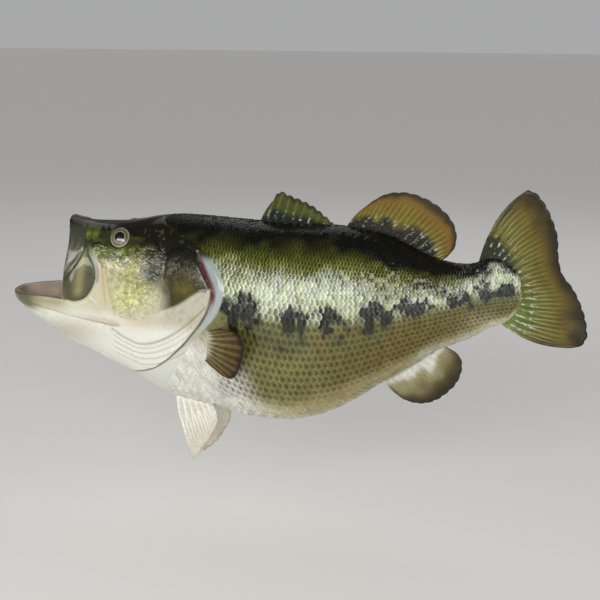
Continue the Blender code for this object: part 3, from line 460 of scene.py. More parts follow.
def body_colour(u, w, z):
    """Colours of the trunk and the tail, with a pale band that is partly painted highlight: the ground on
    which the scales' marks are set.
    """
    p3 = np.stack([u, w, z], -1)
    wave = (value_noise(p3, 0.022, 3) - 0.5) * 0.014 + (value_noise(p3, 0.008, 4) - 0.5) * 0.008
    patchy = value_noise(p3, 0.014, 5)
    s = stripe_z(u)
    height = (z + wave - s) / (back(u) - s)            # 0 on the stripe, 1 on the back
    depth = s - z - wave * 0.6                         # below the stripe
    rear = rise(u, 0.07, 0.14)
    c = mix(BLACK_GREEN, OLIVE, fall(height, 0.9 - 0.36 * rear + 0.22 * (patchy - 0.5), 0.3))
    c = mix(c, GOLD, (0.9 - 0.5 * rear) * fall(height, 0.7, 0.22) * (0.15 + 0.85 * patchy))
    # the pale band along the upper flank: partly its own pale green, partly a painted highlight
    c = mix(c, BAND_AND_HIGHLIGHT, 0.94 * fall(height, band_top(u) + 0.08 + 0.2 * (patchy - 0.5), 0.34))
    c = mix(c, lower_colour(u, p3, depth, depth / (s - belly(u))), within(depth - 0.004, 0.012))
    c = mix(c, INK, stripe_ink(u, z))
    # a pale wedge ahead of the tail fin, under the stripe
    return mix(c, CREAM, 0.55 * blob(u, z, (0.268, 0.012), (0.024, 0.012)))


def face_colour(u, z, n1, n2, n3):
    """Cheek, green brow and dark crown over a white throat, with painted shade in the membrane's folds and
    painted highlights on the cheek; also the crown's share.
    """
    wave = (n1 - 0.5) * 0.012
    c = mix(WHITE, tone(190, 166, 120), 0.6 * blob(u, z, (-0.158, 0.000), (0.034, 0.012)))
    c = mix(c, tone(198, 195, 170), rise(z + wave, 0, 0.014))
    c = mix(c, tone(214, 190, 160), 0.45 * blob(u, z, (-0.214, 0.052), (0.01, 0.03)))
    # darker lines down the membrane behind the jaw: painted shade in its folds
    fold = ridge(u + 0.2165 + 0.1 * (z - 0.05), 0.0016)
    fold = fold + 0.7 * ridge(u + 0.21 + 0.16 * (z - 0.05), 0.0014)
    c = mix(c, tone(150, 130, 104), 0.45 * fold * rise(z, 0.01, 0.015) * fall(z, 0.08, 0.02))
    c = mix(c, tone(150, 150, 58), 0.95 * blob(u, z, (-0.168, 0.054), (0.04, 0.034)) * (0.6 + 0.4 * n1))
    # a pale gold patch low on the cheek: a painted highlight
    c = mix(c, tone(208, 206, 136), 0.85 * blob(u, z, (-0.182, 0.026), (0.022, 0.014)))
    green = rise(z + wave - 0.3 * np.maximum(-0.212 - u, 0), 0.066, 0.018)
    c = mix(c, mix(tone(60, 72, 26), tone(126, 134, 56), n2 * n1 * 1.6), green)
    c = mix(c, tone(34, 38, 24), 0.85 * green * rise(n3, 0.4, 0.2) * rise(z, 0.084, 0.01))
    back_dark = rise(u - 0.3 * np.maximum(0.06 - z, 0), -0.171, 0.026)
    c = mix(c, tone(50, 49, 28), back_dark * rise(z + wave, 0.034, 0.026))
    # a small blue-grey spot on the cheek: a painted glint
    c = mix(c, tone(120, 134, 150), 0.55 * blob(u, z, (-0.158, 0.06), (0.009, 0.007)) * n2 * 1.5)
    flecks = rise(n2, 0.58, 0.1) * rise(n1, 0.35, 0.2) * rise(u, -0.175, 0.02)
    crown = rise(z + wave, np.interp(u, *CROWN_EDGE.T), 0.009)
    return mix(c, mix(tone(26, 22, 14), tone(86, 92, 54), 0.55 * flecks * (z < 0.112)), crown), crown


def gill_colour(c, u, z, d, crown, n1, n2):
    """The preopercle's ridge, the dark gill cover over its pale foot, the collar, crimson in the slit, and
    painted shade behind the cover's free edge and low in the slit.
    """
    c = mix(c, tone(96, 82, 46), 0.45 * ridge(d["preopercle"], 0.003) * rise(z, 0.02, 0.03) * (1 - crown))
    cover = within(d["gill"] + (n1 - 0.5) * 0.006, 0.0016 + 0.024 * fall(u, -0.098, 0.018))
    dark = mix(tone(30, 30, 16), tone(78, 70, 28), 0.8 * n1)
    dark = mix(dark, BLACK_GREEN, rise(z, 0.062, 0.018))
    dark = mix(dark, tone(116, 106, 46), 0.5 * blob(u, z, (-0.098, 0.042), (0.016, 0.014)))
    foot = mix(tone(186, 182, 164), tone(140, 134, 92), 0.45 * rise(n2, 0.45, 0.3) * n1)
    foot = mix(foot, WHITE, fall(z, 0.002, 0.02))
    above = within(np.where(d["foot_side"] < 0, 1, -1) * d["foot"], 0.005)
    c = mix(c, mix(foot, dark, above), cover)
    behind, edge = d["slit"], d["free_edge"]
    collar = behind * fall(z, 0.086, 0.012) * (0.35 + 0.65 * rise(z, -0.05, 0.05))
    c = mix(c, PEARL, 0.92 * collar)
    shade = behind * ridge(edge - 0.003, 0.004) * rise(z, 0.02, 0.02) * (z < 0.08)
    c = mix(c, tone(120, 128, 130), 0.5 * shade)
    red = behind * ridge(edge - 0.0018, 0.0024) * rise(z, 0.016, 0.02) * fall(z, 0.084, 0.01)
    c = mix(c, CRIMSON, red)
    # a dark line low in the slit: painted shade in the gap
    c = mix(c, tone(74, 56, 48), 0.8 * behind * ridge(edge - 0.0008, 0.0012) * fall(z, 0.022, 0.012))
    return mix(c, tone(172, 168, 134), 0.7 * blob(u, z, (-0.079, -0.022), (0.01, 0.02)))


def upper_jaw_colour(c, u, z, d):
    """The rounded front strip with painted highlights down it and painted shade in the crease behind it,
    then the paddle with a blue-grey line behind it.
    """
    # pale lines down the rounded front strip: painted highlights on its rounding
    highlight_streak = 0.5 + 0.5 * np.cos(2 * pi * d["strip"] / 0.0085)
    lip = mix(tone(66, 70, 56), tone(124, 122, 104), highlight_streak * fall(z, 0.106, 0.04))
    lip = mix(lip, tone(84, 86, 70), 0.6 * fall(z, 0.062, 0.012))
    lip = mix(lip, BROWN_BLACK, rise(z, 0.111, 0.007))
    c = mix(c, lip, within(d["strip"], 0.0012) * fall(u, -0.238, 0.003) * (z > 0.034))
    bone = mix(tone(72, 74, 50), tone(134, 130, 88), ridge(u + 0.2475 - 0.16 * (z - 0.055), 0.0065))
    bone = mix(bone, tone(74, 78, 44), fall(z, 0.036, 0.014))
    bone = mix(bone, tone(60, 62, 50), 0.9 * ridge(d["maxilla"], 0.002))
    c = mix(c, bone, within(d["maxilla"], 0.0012) * (1 - 0.5 * rise(z, 0.086, 0.006)))
    # a dark line in the crease behind the front strip: painted shade
    c = mix(c, tone(36, 36, 28), 0.85 * ridge(d["premaxilla"], 0.0011) * (z > 0.04) * (z < 0.1))
    rear_edge = (d["premaxilla"] > 0.0045) & (u > -0.246) & (z > 0.046)
    return mix(c, tone(88, 98, 122), 0.6 * ridge(d["maxilla"] + 0.0028, 0.0016) * rear_edge)


def lower_jaw_colour(c, u, z, d):
    """Olive tip, dark lip line, brown painted shade along the jaw's groove, and the pale side of the jaw
    with a band of painted shade and a painted highlight.
    """
    tip = fall(u, -0.292, 0.034) * rise(z, 0, 0.012)
    c = mix(c, tone(78, 74, 38), 0.9 * tip)
    under_lip = ridge(d["lip"] - 0.007, 0.006) * fall(u, -0.262, 0.02) * (1 - tip)
    c = mix(c, tone(128, 120, 70), 0.6 * under_lip)
    c = mix(c, tone(46, 34, 22), 0.9 * ridge(d["lip"], 0.0018) * (u < -0.262))
    # painted shade: a brown line in the groove along the lower jaw
    groove = ridge(d["mandible"], 0.0017) * rise(d["mandible_share"], 0.02, 0.1)
    c = mix(c, tone(104, 78, 52), 0.6 * groove)
    bone = ridge(d["mandible"] - 0.004, 0.004) * (d["mandible_side"] > 0) * (1 - tip)
    c = mix(c, tone(166, 152, 120), 0.55 * bone)
    # painted shade on the lower part of the jaw's side
    c = mix(c, tone(170, 166, 144), 0.65 * blob(u, z, (-0.27, -0.02), (0.044, 0.019)))
    # a painted highlight along the jaw's side
    return mix(c, tone(216, 216, 206), 0.8 * blob(u, z, (-0.258, 0.006), (0.032, 0.008)))


def head_colour(u, w, z, d):
    """Colours of the head, from the crown down to the white throat."""
    p3 = np.stack([u, w, z], -1)
    n1, n2, n3 = value_noise(p3, 0.01, 21), value_noise(p3, 0.0035, 22), value_noise(p3, 0.018, 23)
    c, crown = face_colour(u, z, n1, n2, n3)
    c = gill_colour(c, u, z, d, crown, n1, n2)
    c = lower_jaw_colour(upper_jaw_colour(c, u, z, d), u, z, d)
    # painted shade: darker lines in the grooves along the interopercle's edge, between the gill folds, and
    # under the gill cover's free edge
    c = mix(c, tone(130, 118, 104), 0.6 * ridge(d["interopercle"], 0.0014))
    span = (d["interopercle_side"] < 0) & (u > -0.205) & (u < -0.085)
    for line in GILL_FOLDS:
        c = mix(c, tone(140, 132, 120), 0.38 * ridge(d["interopercle"] - line, 0.001) * span)
    c = mix(c, tone(84, 72, 62), 0.8 * ridge(d["free_edge"], 0.0008) * (z < 0.04) * (u > -0.18))
    # painted shade: near-black skin in the seam round the glass eye and in the nostril pits
    c = mix(c, tone(14, 14, 10), fall(d["eye"], EYE_RADIUS + 0.0012, 0.001))
    for gap in nostril_distances(u, z):
        c = mix(c, tone(12, 11, 8), ridge(gap, 0.0015))
    return c


# ---------------------------------------------------------------- meshes
def link(name, data):
    thing = bpy.data.objects.new(name, data)
    bpy.context.collection.objects.link(thing)
    return thing


def paint_points(mesh, colours):
    layer = mesh.color_attributes.new("Paint", "FLOAT_COLOR", "POINT")
    rgba = np.ones((len(mesh.vertices), 4), np.float32)
    rgba[:, :3] = np.clip(colours, 0, 1)
    layer.data.foreach_set("color", rgba.ravel())


def dressed(thing, colours, material):
    """A smooth piece with its paint and its material, carried by the frame's root."""
    thing.data.shade_smooth()
    paint_points(thing.data, colours)
    thing.data.materials.append(material)
    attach(thing, "root")
    return thing


def mesh_piece(name, points, face_sets, colours, material):
    """A piece from straight-fish points, posed here, and arrays of quads or triangles."""
    loops = np.concatenate([faces.ravel() for faces in face_sets]).astype(np.int32)
    sizes = np.concatenate([np.full(len(faces), faces.shape[1]) for faces in face_sets])
    mesh = bpy.data.meshes.new(name)
    mesh.vertices.add(len(points))
    mesh.vertices.foreach_set("co", pose(points).astype(np.float32).ravel())
    mesh.loops.add(len(loops))
    mesh.loops.foreach_set("vertex_index", loops)
    mesh.polygons.add(len(sizes))
    mesh.polygons.foreach_set("loop_start", (np.cumsum(sizes) - sizes).astype(np.int32))
    mesh.update(calc_edges=True)
    return dressed(link(name, mesh), colours, material)


def fold_faces(rows, columns, closed=False):
    """Quads of a grid of points, whose rows may close into rings."""
    last = columns if closed else columns - 1
    r, c = np.meshgrid(np.arange(rows - 1), np.arange(last), indexing="ij")
    d = (c + 1) % columns
    return np.stack([r * columns + c, r * columns + d, (r + 1) * columns + d, (r + 1) * columns + c],
                    -1).reshape(-1, 4)


def slab_faces(rows, columns):
    """Quads of a slab between two grids: one side, the other, and the walls round the rim."""
    near, size = fold_faces(rows, columns), rows * columns
    rim = (list(range(columns)) + [r * columns + columns - 1 for r in range(1, rows)]
           + [(rows - 1) * columns + c for c in range(columns - 2, -1, -1)]
           + [r * columns for r in range(rows - 2, 0, -1)])
    walls = np.array([(a, b, size + b, size + a) for a, b in zip(rim, rim[1:] + rim[:1])])
    return near, size + near, walls


def raw_object(name, points, quads, caps=()):
    """An unposed helper mesh, faces out."""
    mesh = bpy.data.meshes.new(name)
    faces = np.asarray(quads).tolist() + [tuple(cap) for cap in caps]
    mesh.from_pydata(np.asarray(points).tolist(), [], faces)
    work = bmesh.new()
    work.from_mesh(mesh)
    bmesh.ops.recalc_face_normals(work, faces=work.faces)
    if work.calc_volume(signed=True) < 0:
        bmesh.ops.reverse_faces(work, faces=work.faces)
    work.to_mesh(mesh)
    work.free()
    return link(name, mesh)


def ring_points(count, u, roof, floor, widest, width, powers):
    """A ring round the section at u: two half superellipses that meet at its widest level."""
    angle = np.linspace(0, 2 * pi, count, endpoint=False)
    c, s = np.cos(angle), np.sin(angle)
    power = np.where(s > 0, powers[0], powers[1])
    height = np.where(s > 0, roof - widest, widest - floor)
    w = width * np.sign(c) * np.abs(c) ** (2 / power)
    z = widest + height * np.sign(s) * np.abs(s) ** (2 / power)
    return np.stack([np.full(count, u), w, z], -1)


def tube(name, rings):
    rings = np.array(rings)
    rows, count = rings.shape[:2]
    caps = [range(count), range((rows - 1) * count, rows * count)]
    return raw_object(name, rings.reshape(-1, 3), fold_faces(rows, count, True), caps)


def whole_body():
    stations = np.concatenate([np.linspace(JAW_TIP_U, -0.33, 14), np.linspace(-0.3285, 0.294, 250),
                               np.linspace(0.2955, TAIL_FLESH_U, 18)])
    return tube("body", [ring_points(112, u, back(u), belly(u), level(u), half_width(u),
                                     (upper_power(u), lower_power(u))) for u in stations])


def mouth_space():
    rings = []
    for u in np.linspace(MOUTH_FRONT_U, MOUTH_BACK_U, 70):
        widest = LIP_Z + (mouth_floor(u) - LIP_Z) * 0.12
        rings.append(ring_points(72, u, mouth_roof(u), mouth_floor(u), widest, mouth_half_width(u),
                                 MOUTH_POWERS))
    return tube("mouth", rings)


def gape_space():
    """The space ahead of the upper jaw, over the lips of the lower one."""
    widths, levels = np.linspace(-0.08, 0.08, 41), np.concatenate([[LIP_Z], np.linspace(0.03, 0.16, 30)])
    w, z = np.meshgrid(widths, levels)
    rounding = RIM_ROUNDING * np.minimum((w / RIM_ROUNDING_WIDTH) ** 2, RIM_ROUNDING_MOST)
    lean = RIM_LEAN * fall(z, RIM_LEAN_TOP, RIM_LEAN_SPAN)
    near = np.stack([SNOUT_U + rounding - lean, w, z], -1).reshape(-1, 3)
    far = near.copy()
    far[:, 0] = GAPE_FAR_U
    return raw_object("gape", np.vstack([near, far]), np.vstack(slab_faces(*w.shape)))


# ---------------------------------------------------------------- skin
def remeshed_body():
    """The straight fish's one closed skin, with the mouth open: (points, quads)."""
    body = whole_body()
    tools = [gape_space(), mouth_space()]
    for tool in tools:
        step = body.modifiers.new("cut", "BOOLEAN")
        step.operation, step.solver, step.object = "DIFFERENCE", "EXACT", tool
    remesh = body.modifiers.new("remesh", "REMESH")
    remesh.mode, remesh.voxel_size = "VOXEL", VOXEL
    bpy.context.view_layer.update()
    graph = bpy.context.evaluated_depsgraph_get()
    mesh = bpy.data.meshes.new_from_object(body.evaluated_get(graph))
    points = np.empty(len(mesh.vertices) * 3, np.float32)
    mesh.vertices.foreach_get("co", points)
    quads = np.empty(len(mesh.loops), np.int32)
    mesh.loops.foreach_get("vertex_index", quads)
    for thing in tools + [body]:
        bpy.data.objects.remove(thing)
    bpy.data.meshes.remove(mesh)
    return points.reshape(-1, 3).astype(float), quads.reshape(-1, 4)


def corners(points, quads):
    return (points[quads[:, i]] for i in range(4))


def vertex_normals(points, quads):
    a, b, c, d = corners(points, quads)
    n = np.cross(c - a, d - b)
    total = np.stack([sum(np.bincount(quads[:, i], n[:, k], len(points)) for i in range(4))
                      for k in range(3)], 1)
    return total / np.maximum(np.linalg.norm(total, axis=1), 1e-12)[:, None]


def true_scale(p):
    """Factor that brings each point's section coordinates onto the body's surface."""
    u, w, z = p.T
    power, height = section(u, z > level(u))
    e = (np.abs(w) / half_width(u)) ** power + (np.abs(z - level(u)) / height) ** power
    return np.maximum(e, 1e-6) ** (-1 / power)


def smooth_body():
    """The skin before its relief: points, quads, depth under the flank, lining and nearness to it."""
    p, quads = remeshed_body()
    edges = np.vstack([quads[:, [0, 1]], quads[:, [1, 2]], quads[:, [2, 3]], quads[:, [3, 0]]])
    edges = np.unique(np.sort(edges, 1), axis=0)
    degree = np.bincount(edges.ravel(), minlength=len(p)).astype(float)

    def neighbour_mean(values):
        total = np.stack([np.bincount(edges[:, 0], part[edges[:, 1]], len(values))
                          + np.bincount(edges[:, 1], part[edges[:, 0]], len(values))
                          for part in values.T], 1)
        return total / degree[:, None]
    inward = np.hypot(p[:, 1], p[:, 2] - level(p[:, 0])) * (true_scale(p) - 1)
    lining = (inward > 0.0016) & (p[:, 0] < -0.14)
    near = lining.astype(float)[:, None]
    for _ in range(5):
        near = np.maximum(near, neighbour_mean(near))
    for _ in range(4):
        p += 0.5 * (neighbour_mean(p) - p)
    near = near[:, 0]
    ends = rise(p[:, 0], JAW_TIP_U + 0.0015, 0.002) * fall(p[:, 0], TAIL_FLESH_U - 0.0015, 0.002)
    factor = 1 + (true_scale(p) - 1) * (1 - rise(near, 0.02, 0.3)) * ~lining * ends
    p[:, 1] *= factor
    p[:, 2] = level(p[:, 0]) + (p[:, 2] - level(p[:, 0])) * factor
    near_lips = (smooth_step(near / 0.2) * fall(inward, 0.0075, 0.003))[:, None]
    for _ in range(6):
        p += 0.5 * near_lips * (neighbour_mean(p) - p)
    return p, quads, inward, lining, near


def build_skin(material):
    p, quads, inward, lining, near = smooth_body()
    normal = vertex_normals(p, quads)
    u, w, z = p.T.copy()
    head = (u < -0.03) & ~lining
    d = head_lines(u[head], z[head])
    height = np.zeros(len(p))
    sideways = rise(np.abs(w[head]), 0.004, 0.008)
    height[head] = relief(u[head], z[head], d) * sideways * (1 - near[head] * 0.6)
    height -= (COAT_DEPTH * scaled_share(u, z) + 0.00015) * ~lining
    underside = (normal[:, 2] < -0.6) & (u < -0.15) & ~lining
    keel = ridge(np.abs(w) - (0.014 + 0.1 * (u - JAW_TIP_U)), 0.0022) * fall(u, -0.2, 0.03)
    height -= 0.0016 * keel * underside
    roof = lining & (normal[:, 2] < -0.3)
    height += roof * 0.0006 * np.cos(2 * pi * u / 0.009) * rise(np.abs(w), 0.004, 0.008)
    p += normal * height[:, None]

    colour = body_colour(u, w, z)
    shade = head_colour(u[head], w[head], z[head], d)
    colour[head] = mix(colour[head], shade, 1 - scaled_share(u[head], z[head]))
    inner = mix(LINING, tone(196, 176, 158), value_noise(p, 0.012, 31))
    inner = mix(inner, tone(150, 96, 92), rise(u, -0.215, 0.05))
    inner = mix(inner, tone(116, 112, 90), fall(inward, 0.0048, 0.002) * (z > LIP_Z + 0.004))
    colour = mix(colour, inner, lining * rise(inward, 0.0016, 0.0012))
    skin = mesh_piece("skin", p, [quads[:, ::-1]], colour, material)
    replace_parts(skin, "head", "upper_jaw", "lower_jaw", "throat", "trunk", "tail", "tongue",
                "gill_cover_left", "gill_cover_right", "maxilla_left", "maxilla_right")


# ---------------------------------------------------------------- scales
class Flank:
    """Places on the flank by (u, distance down the flank from the back's middle)."""

    def __init__(self):
        self.u = np.linspace(-0.2, TAIL_FLESH_U - 0.0008, 360)
        self.v = np.linspace(0, 1, 241)
        angle = np.linspace(pi / 2, -pi / 2, 901)
        c, s = np.cos(angle), np.sin(angle)
        self.w, self.z = np.empty((360, 241)), np.empty((360, 241))
        self.length, self.lateral = np.empty(360), np.empty(360)
        for i, u in enumerate(self.u):
            power, height = section(u, s > 0)
            w = half_width(u) * np.abs(c) ** (2 / power)
            z = level(u) + height * np.sign(s) * np.abs(s) ** (2 / power)
            run = np.concatenate([[0], np.cumsum(np.hypot(np.diff(w), np.diff(z)))])
            self.length[i] = run[-1]
            self.w[i], self.z[i] = (np.interp(self.v * run[-1], run, k) for k in (w, z))
            self.lateral[i] = np.interp(-lateral_z(u), -z, run)

    def at(self, u, arc):
        """(u, w, z) of left-flank points; arcs beyond the middles fold over to the other flank."""
        length = np.interp(u, self.u, self.length)
        sign = np.where((arc < 0) | (arc > length), -1.0, 1.0)
        arc = np.where(arc < 0, -arc, np.where(arc > length, 2 * length - arc, arc))
        x = np.clip((u - self.u[0]) / (self.u[1] - self.u[0]), 0, len(self.u) - 1.001)
        y = np.clip(arc / length * (len(self.v) - 1), 0, len(self.v) - 1.001)
        i, j = x.astype(int), y.astype(int)
        fx, fy = x - i, y - j

        def pick(table):
            top = table[i, j] * (1 - fy) + table[i, j + 1] * fy
            return top * (1 - fx) + (table[i + 1, j] * (1 - fy) + table[i + 1, j + 1] * fy) * fx
        return np.stack([u, pick(self.w) * sign, pick(self.z)], -1)

    def row(self, u, eta):
        """Arc of scale row eta (0 on the lateral line, counted downward) at u."""
        low = np.clip(eta, 0.0, 9.0)
        widening = low * (1 + 0.011 * low) + 1.2 * np.maximum(eta - 9.0, 0) + 0.8 * np.minimum(eta, 0)
        return np.interp(u, self.u, self.lateral) + widening * row_height(u)


def plate_faces(rows, columns):
    """Quads and triangles of one plate: top grid, a strip under its two end rows, the rim between."""
    size, last = rows * columns, (rows - 1) * columns
    c = np.arange(columns - 1)
    front, rear = size + c, size + columns + c          # under the first and the last row
    quads = np.vstack([fold_faces(rows, columns), np.stack([front, rear, rear + 1, front + 1], -1),
                       np.stack([c + 1, c, front, front + 1], -1),
                       np.stack([last + c, last + c + 1, rear + 1, rear], -1)])
    triangles = []
    for edge, way in ((0, 1), (columns - 1, -1)):
        front, rear = size + edge, size + columns + edge
        for r in range(rows - 1):
            a, b = r * columns + edge, (r + 1) * columns + edge
            triangles.append((a, b, rear) if way > 0 else (b, a, rear))
        triangles.append((edge, rear, front) if way > 0 else (edge, front, rear))
    return quads, np.array(triangles)


def plate_unwrap(rows, columns, roots):
    """One small patch for each plate, at its root's place on the flank's own unwrap."""
    across = np.linspace(-0.5, 0.5, columns)
    grid = np.stack(np.meshgrid(np.linspace(-0.5, 0.3, rows), across, indexing="ij"), -1)
    ends = [np.stack([np.full(columns, place), across * 1.1], -1) for place in (-0.62, 0.5)]
    patch = np.vstack([grid.reshape(-1, 2), *ends])
    low, high = roots.min(0), roots.max(0)
    place = 0.02 + 0.96 * (roots - low) / (high - low)
    return (place[:, None, :] + patch * 0.003).reshape(-1, 2)


def plates(name, tops, normal, colours, roots, material, flank):
    """Joins many plates, given by their tops (n, rows, columns, 3), in one piece of the coat."""
    n, rows, columns = tops.shape[:3]
    each = (rows + 2) * columns
    under = tops[:, [0, -1]] - normal[:, [0, -1]] * PLATE_THICKNESS
    points = np.concatenate([tops, under], 1).reshape(-1, 3) * [1, flank, 1]
    paint = np.concatenate([colours, colours[:, [0, -1]]], 1).reshape(-1, 3)
    face_sets = [(faces + column(np.arange(n) * each)).reshape(-1, faces.shape[1])
                 for faces in plate_faces(rows, columns)]
    if flank < 0:
        face_sets = [faces[:, ::-1] for faces in face_sets]
    mesh = mesh_piece(name, points, face_sets, paint, material).data
    mesh.set_sharp_from_angle(angle=1.0)
    loops = np.concatenate([faces.ravel() for faces in face_sets])
    uv = plate_unwrap(rows, columns, roots)[loops]
    mesh.uv_layers.new(name="OFBake").data.foreach_set("uv", uv.astype(np.float32).ravel())


def surface_normals(points):
    """Outward normals of (n, rows, columns, 3) patches on the left flank."""
    n = np.cross(np.gradient(points, axis=1), np.gradient(points, axis=2))
    return n / np.maximum(np.linalg.norm(n, axis=-1), 1e-12)[..., None]


def scale_step(u, row):
    """Distance between neighbours in one row of scales, shorter toward the back."""
    return (0.0028 + 0.45 * row_height(u)) * (0.66 + 0.5 * rise(np.asarray(row), -6.0, 14.0))


def scale_seats(flank):
    """Where the flank's scales sit: u and row, and the points under them."""
    us, rows = [], []
    for k in SCALE_ROWS:
        for way in (-1, 1):
            u = ANCHOR_U + (scale_step(ANCHOR_U, k) / 2 if k % 2 else 0.0)
            if way < 0:
                u -= scale_step(u, k)
            while -0.168 < u < TAIL_FLESH_U - 0.004:
                arc, spare = flank.row(u, float(k)), 0.25 * row_height(u)
                if -spare < arc < np.interp(u, flank.u, flank.length) + spare:
                    us.append(u)
                    rows.append(float(k))
                u += way * scale_step(u, k)
    us, rows = np.array(us), np.array(rows)
    seats = flank.at(us, flank.row(us, rows))
    keep = us > scale_front(seats[:, 2]) + 0.003
    return us[keep], rows[keep], seats[keep]


def scale_marks(ground, p, q, surface, chance):
    """Each scale's marks: its own dark centre below the stripe; above it, painted shade at its root and a
    painted highlight on its free edge.
    """
    u, z = surface[..., 0], surface[..., 2]
    s, low_line = stripe_z(u), belly(u)
    depth, height = s - z, np.clip((z - s) / 0.1, 0, 1)
    below = rise(depth, 0.002, 0.014)
    above = 1 - below
    chance = column(chance)
    other = chance * 7.31 % 1.0
    in_band = fall(height, band_top(u) + 0.1, 0.2) * above
    # each scale a little lighter or darker at random, more so in the pale band, where this paints the
    # sparkle of the highlight
    colour = ground * (0.8 - 0.16 * in_band + (0.24 + 0.26 * in_band) * other)[..., None]
    pale_edge = below * rise(p, 0.86, 0.1) * (1 - 0.3 * q ** 2)
    colour = mix(colour, np.minimum(colour * 1.7, 0.6), 0.45 * pale_edge * (0.2 + 0.8 * other))
    spot = np.exp(-((p - 0.72 - 0.05 * other) / 0.19) ** 2 - (q / 0.6) ** 2) * below
    spot = spot * rise((z - low_line) / (s - low_line), 0.1, 0.2)
    spot = spot * rise(u + 0.2 * np.maximum(depth - 0.02, 0), -0.056, 0.03)
    colour = mix(colour, SPOT, (0.78 + 0.22 * chance) * spot)
    on_band = fall(height, band_top(u) + 0.04, 0.32)
    # painted shade over the covered root of each scale above the stripe, weaker in the pale band
    shadow = 1 - rise(p, 0.66 + 0.1 * (1 - on_band), 0.16)
    colour = mix(colour, colour * 0.3, (0.86 - 0.2 * on_band) * above * shadow)
    # some scales in the pale band painted darker, as gaps in its painted highlight
    colour = mix(colour, colour * 0.55, rise(chance, 0.82, 0.05) * on_band * above)
    # a painted highlight along the free edge of the scales above the stripe, whitest in the pale band
    crescent_glint = rise(p, 0.8, 0.09) * (1 - 0.7 * q ** 2)
    bright = mix(np.minimum(ground * 2.8, 0.62), WHITE, 0.8 * on_band)
    inked = 1 - rise(ground[..., 1], 0.03, 0.1) * on_band - (1 - on_band)
    share = crescent_glint * above * (0.05 + 0.95 * chance ** 1.5) * (1 - rise(height, 0.42, 0.45))
    return mix(colour, bright, share * (1 - 0.85 * inked))


def body_plates(name, flank, rng, u, row, front, sign, material):
    """Plates for scales at (u, row), each lying over the root of the next one toward the tail."""
    n = len(u)
    u = u + rng.normal(0, 0.00018, n)
    row = row + rng.normal(0, 0.018, n)
    step = scale_step(u, row)
    p, q = np.meshgrid(SCALE_P, SCALE_Q, indexing="ij")
    reach = (p * (1 - 0.36 * q ** 2) - 0.58) * column(2.15 * step)
    room = column(np.clip((u - front - 0.0005) / (1.25 * step), 0.2, 1))
    plate_u = column(u) + np.where(reach < 0, reach * room, reach)
    plate_row = column(row) + 0.74 * q * (1 - 0.18 * (1 - p) ** 2)
    flat_u = np.minimum(plate_u, TAIL_FLESH_U - 0.001).ravel()
    surface = flank.at(flat_u, flank.row(flat_u, plate_row.ravel())).reshape(*plate_u.shape, 3)
    surface[..., 0] = plate_u
    normal = surface_normals(surface)
    tilt = rng.normal(0, 0.00012, (n, 1, 1)) * p + rng.normal(0, 0.00024, (n, 1, 1)) * q
    lift = -0.00135 + 0.00148 * p + tilt - 0.00034 * q ** 2 - 0.00016 * (p > 0.99)
    mirror = [1, sign, 1]
    ground = body_colour(*(surface.reshape(-1, 3) * mirror).T).reshape(surface.shape)
    arc = flank.row(u, row)
    whole = body_colour(*(flank.at(u, arc) * mirror).T)
    ground = mix(ground, whole[:, None, None, :], 0.35)
    colour = scale_marks(ground, p, q, surface, rng.random(n))
    roots = np.stack([u, arc], -1)
    plates(name, surface + normal * lift[..., None], normal, colour, roots, material, sign)


def build_body_scales(material):
    flank = Flank()
    rng = np.random.default_rng(8)
    us, rows, seats = scale_seats(flank)
    parts = (("upper", rows <= -8), ("middle", (rows > -8) & (rows <= 4)), ("lower", rows > 4))
    for which, sign in SIDES:
        for part, chosen in parts:
            body_plates(f"scales_{which}_{part}", flank, rng, us[chosen], rows[chosen],
                        scale_front(seats[chosen, 2]), sign, material)


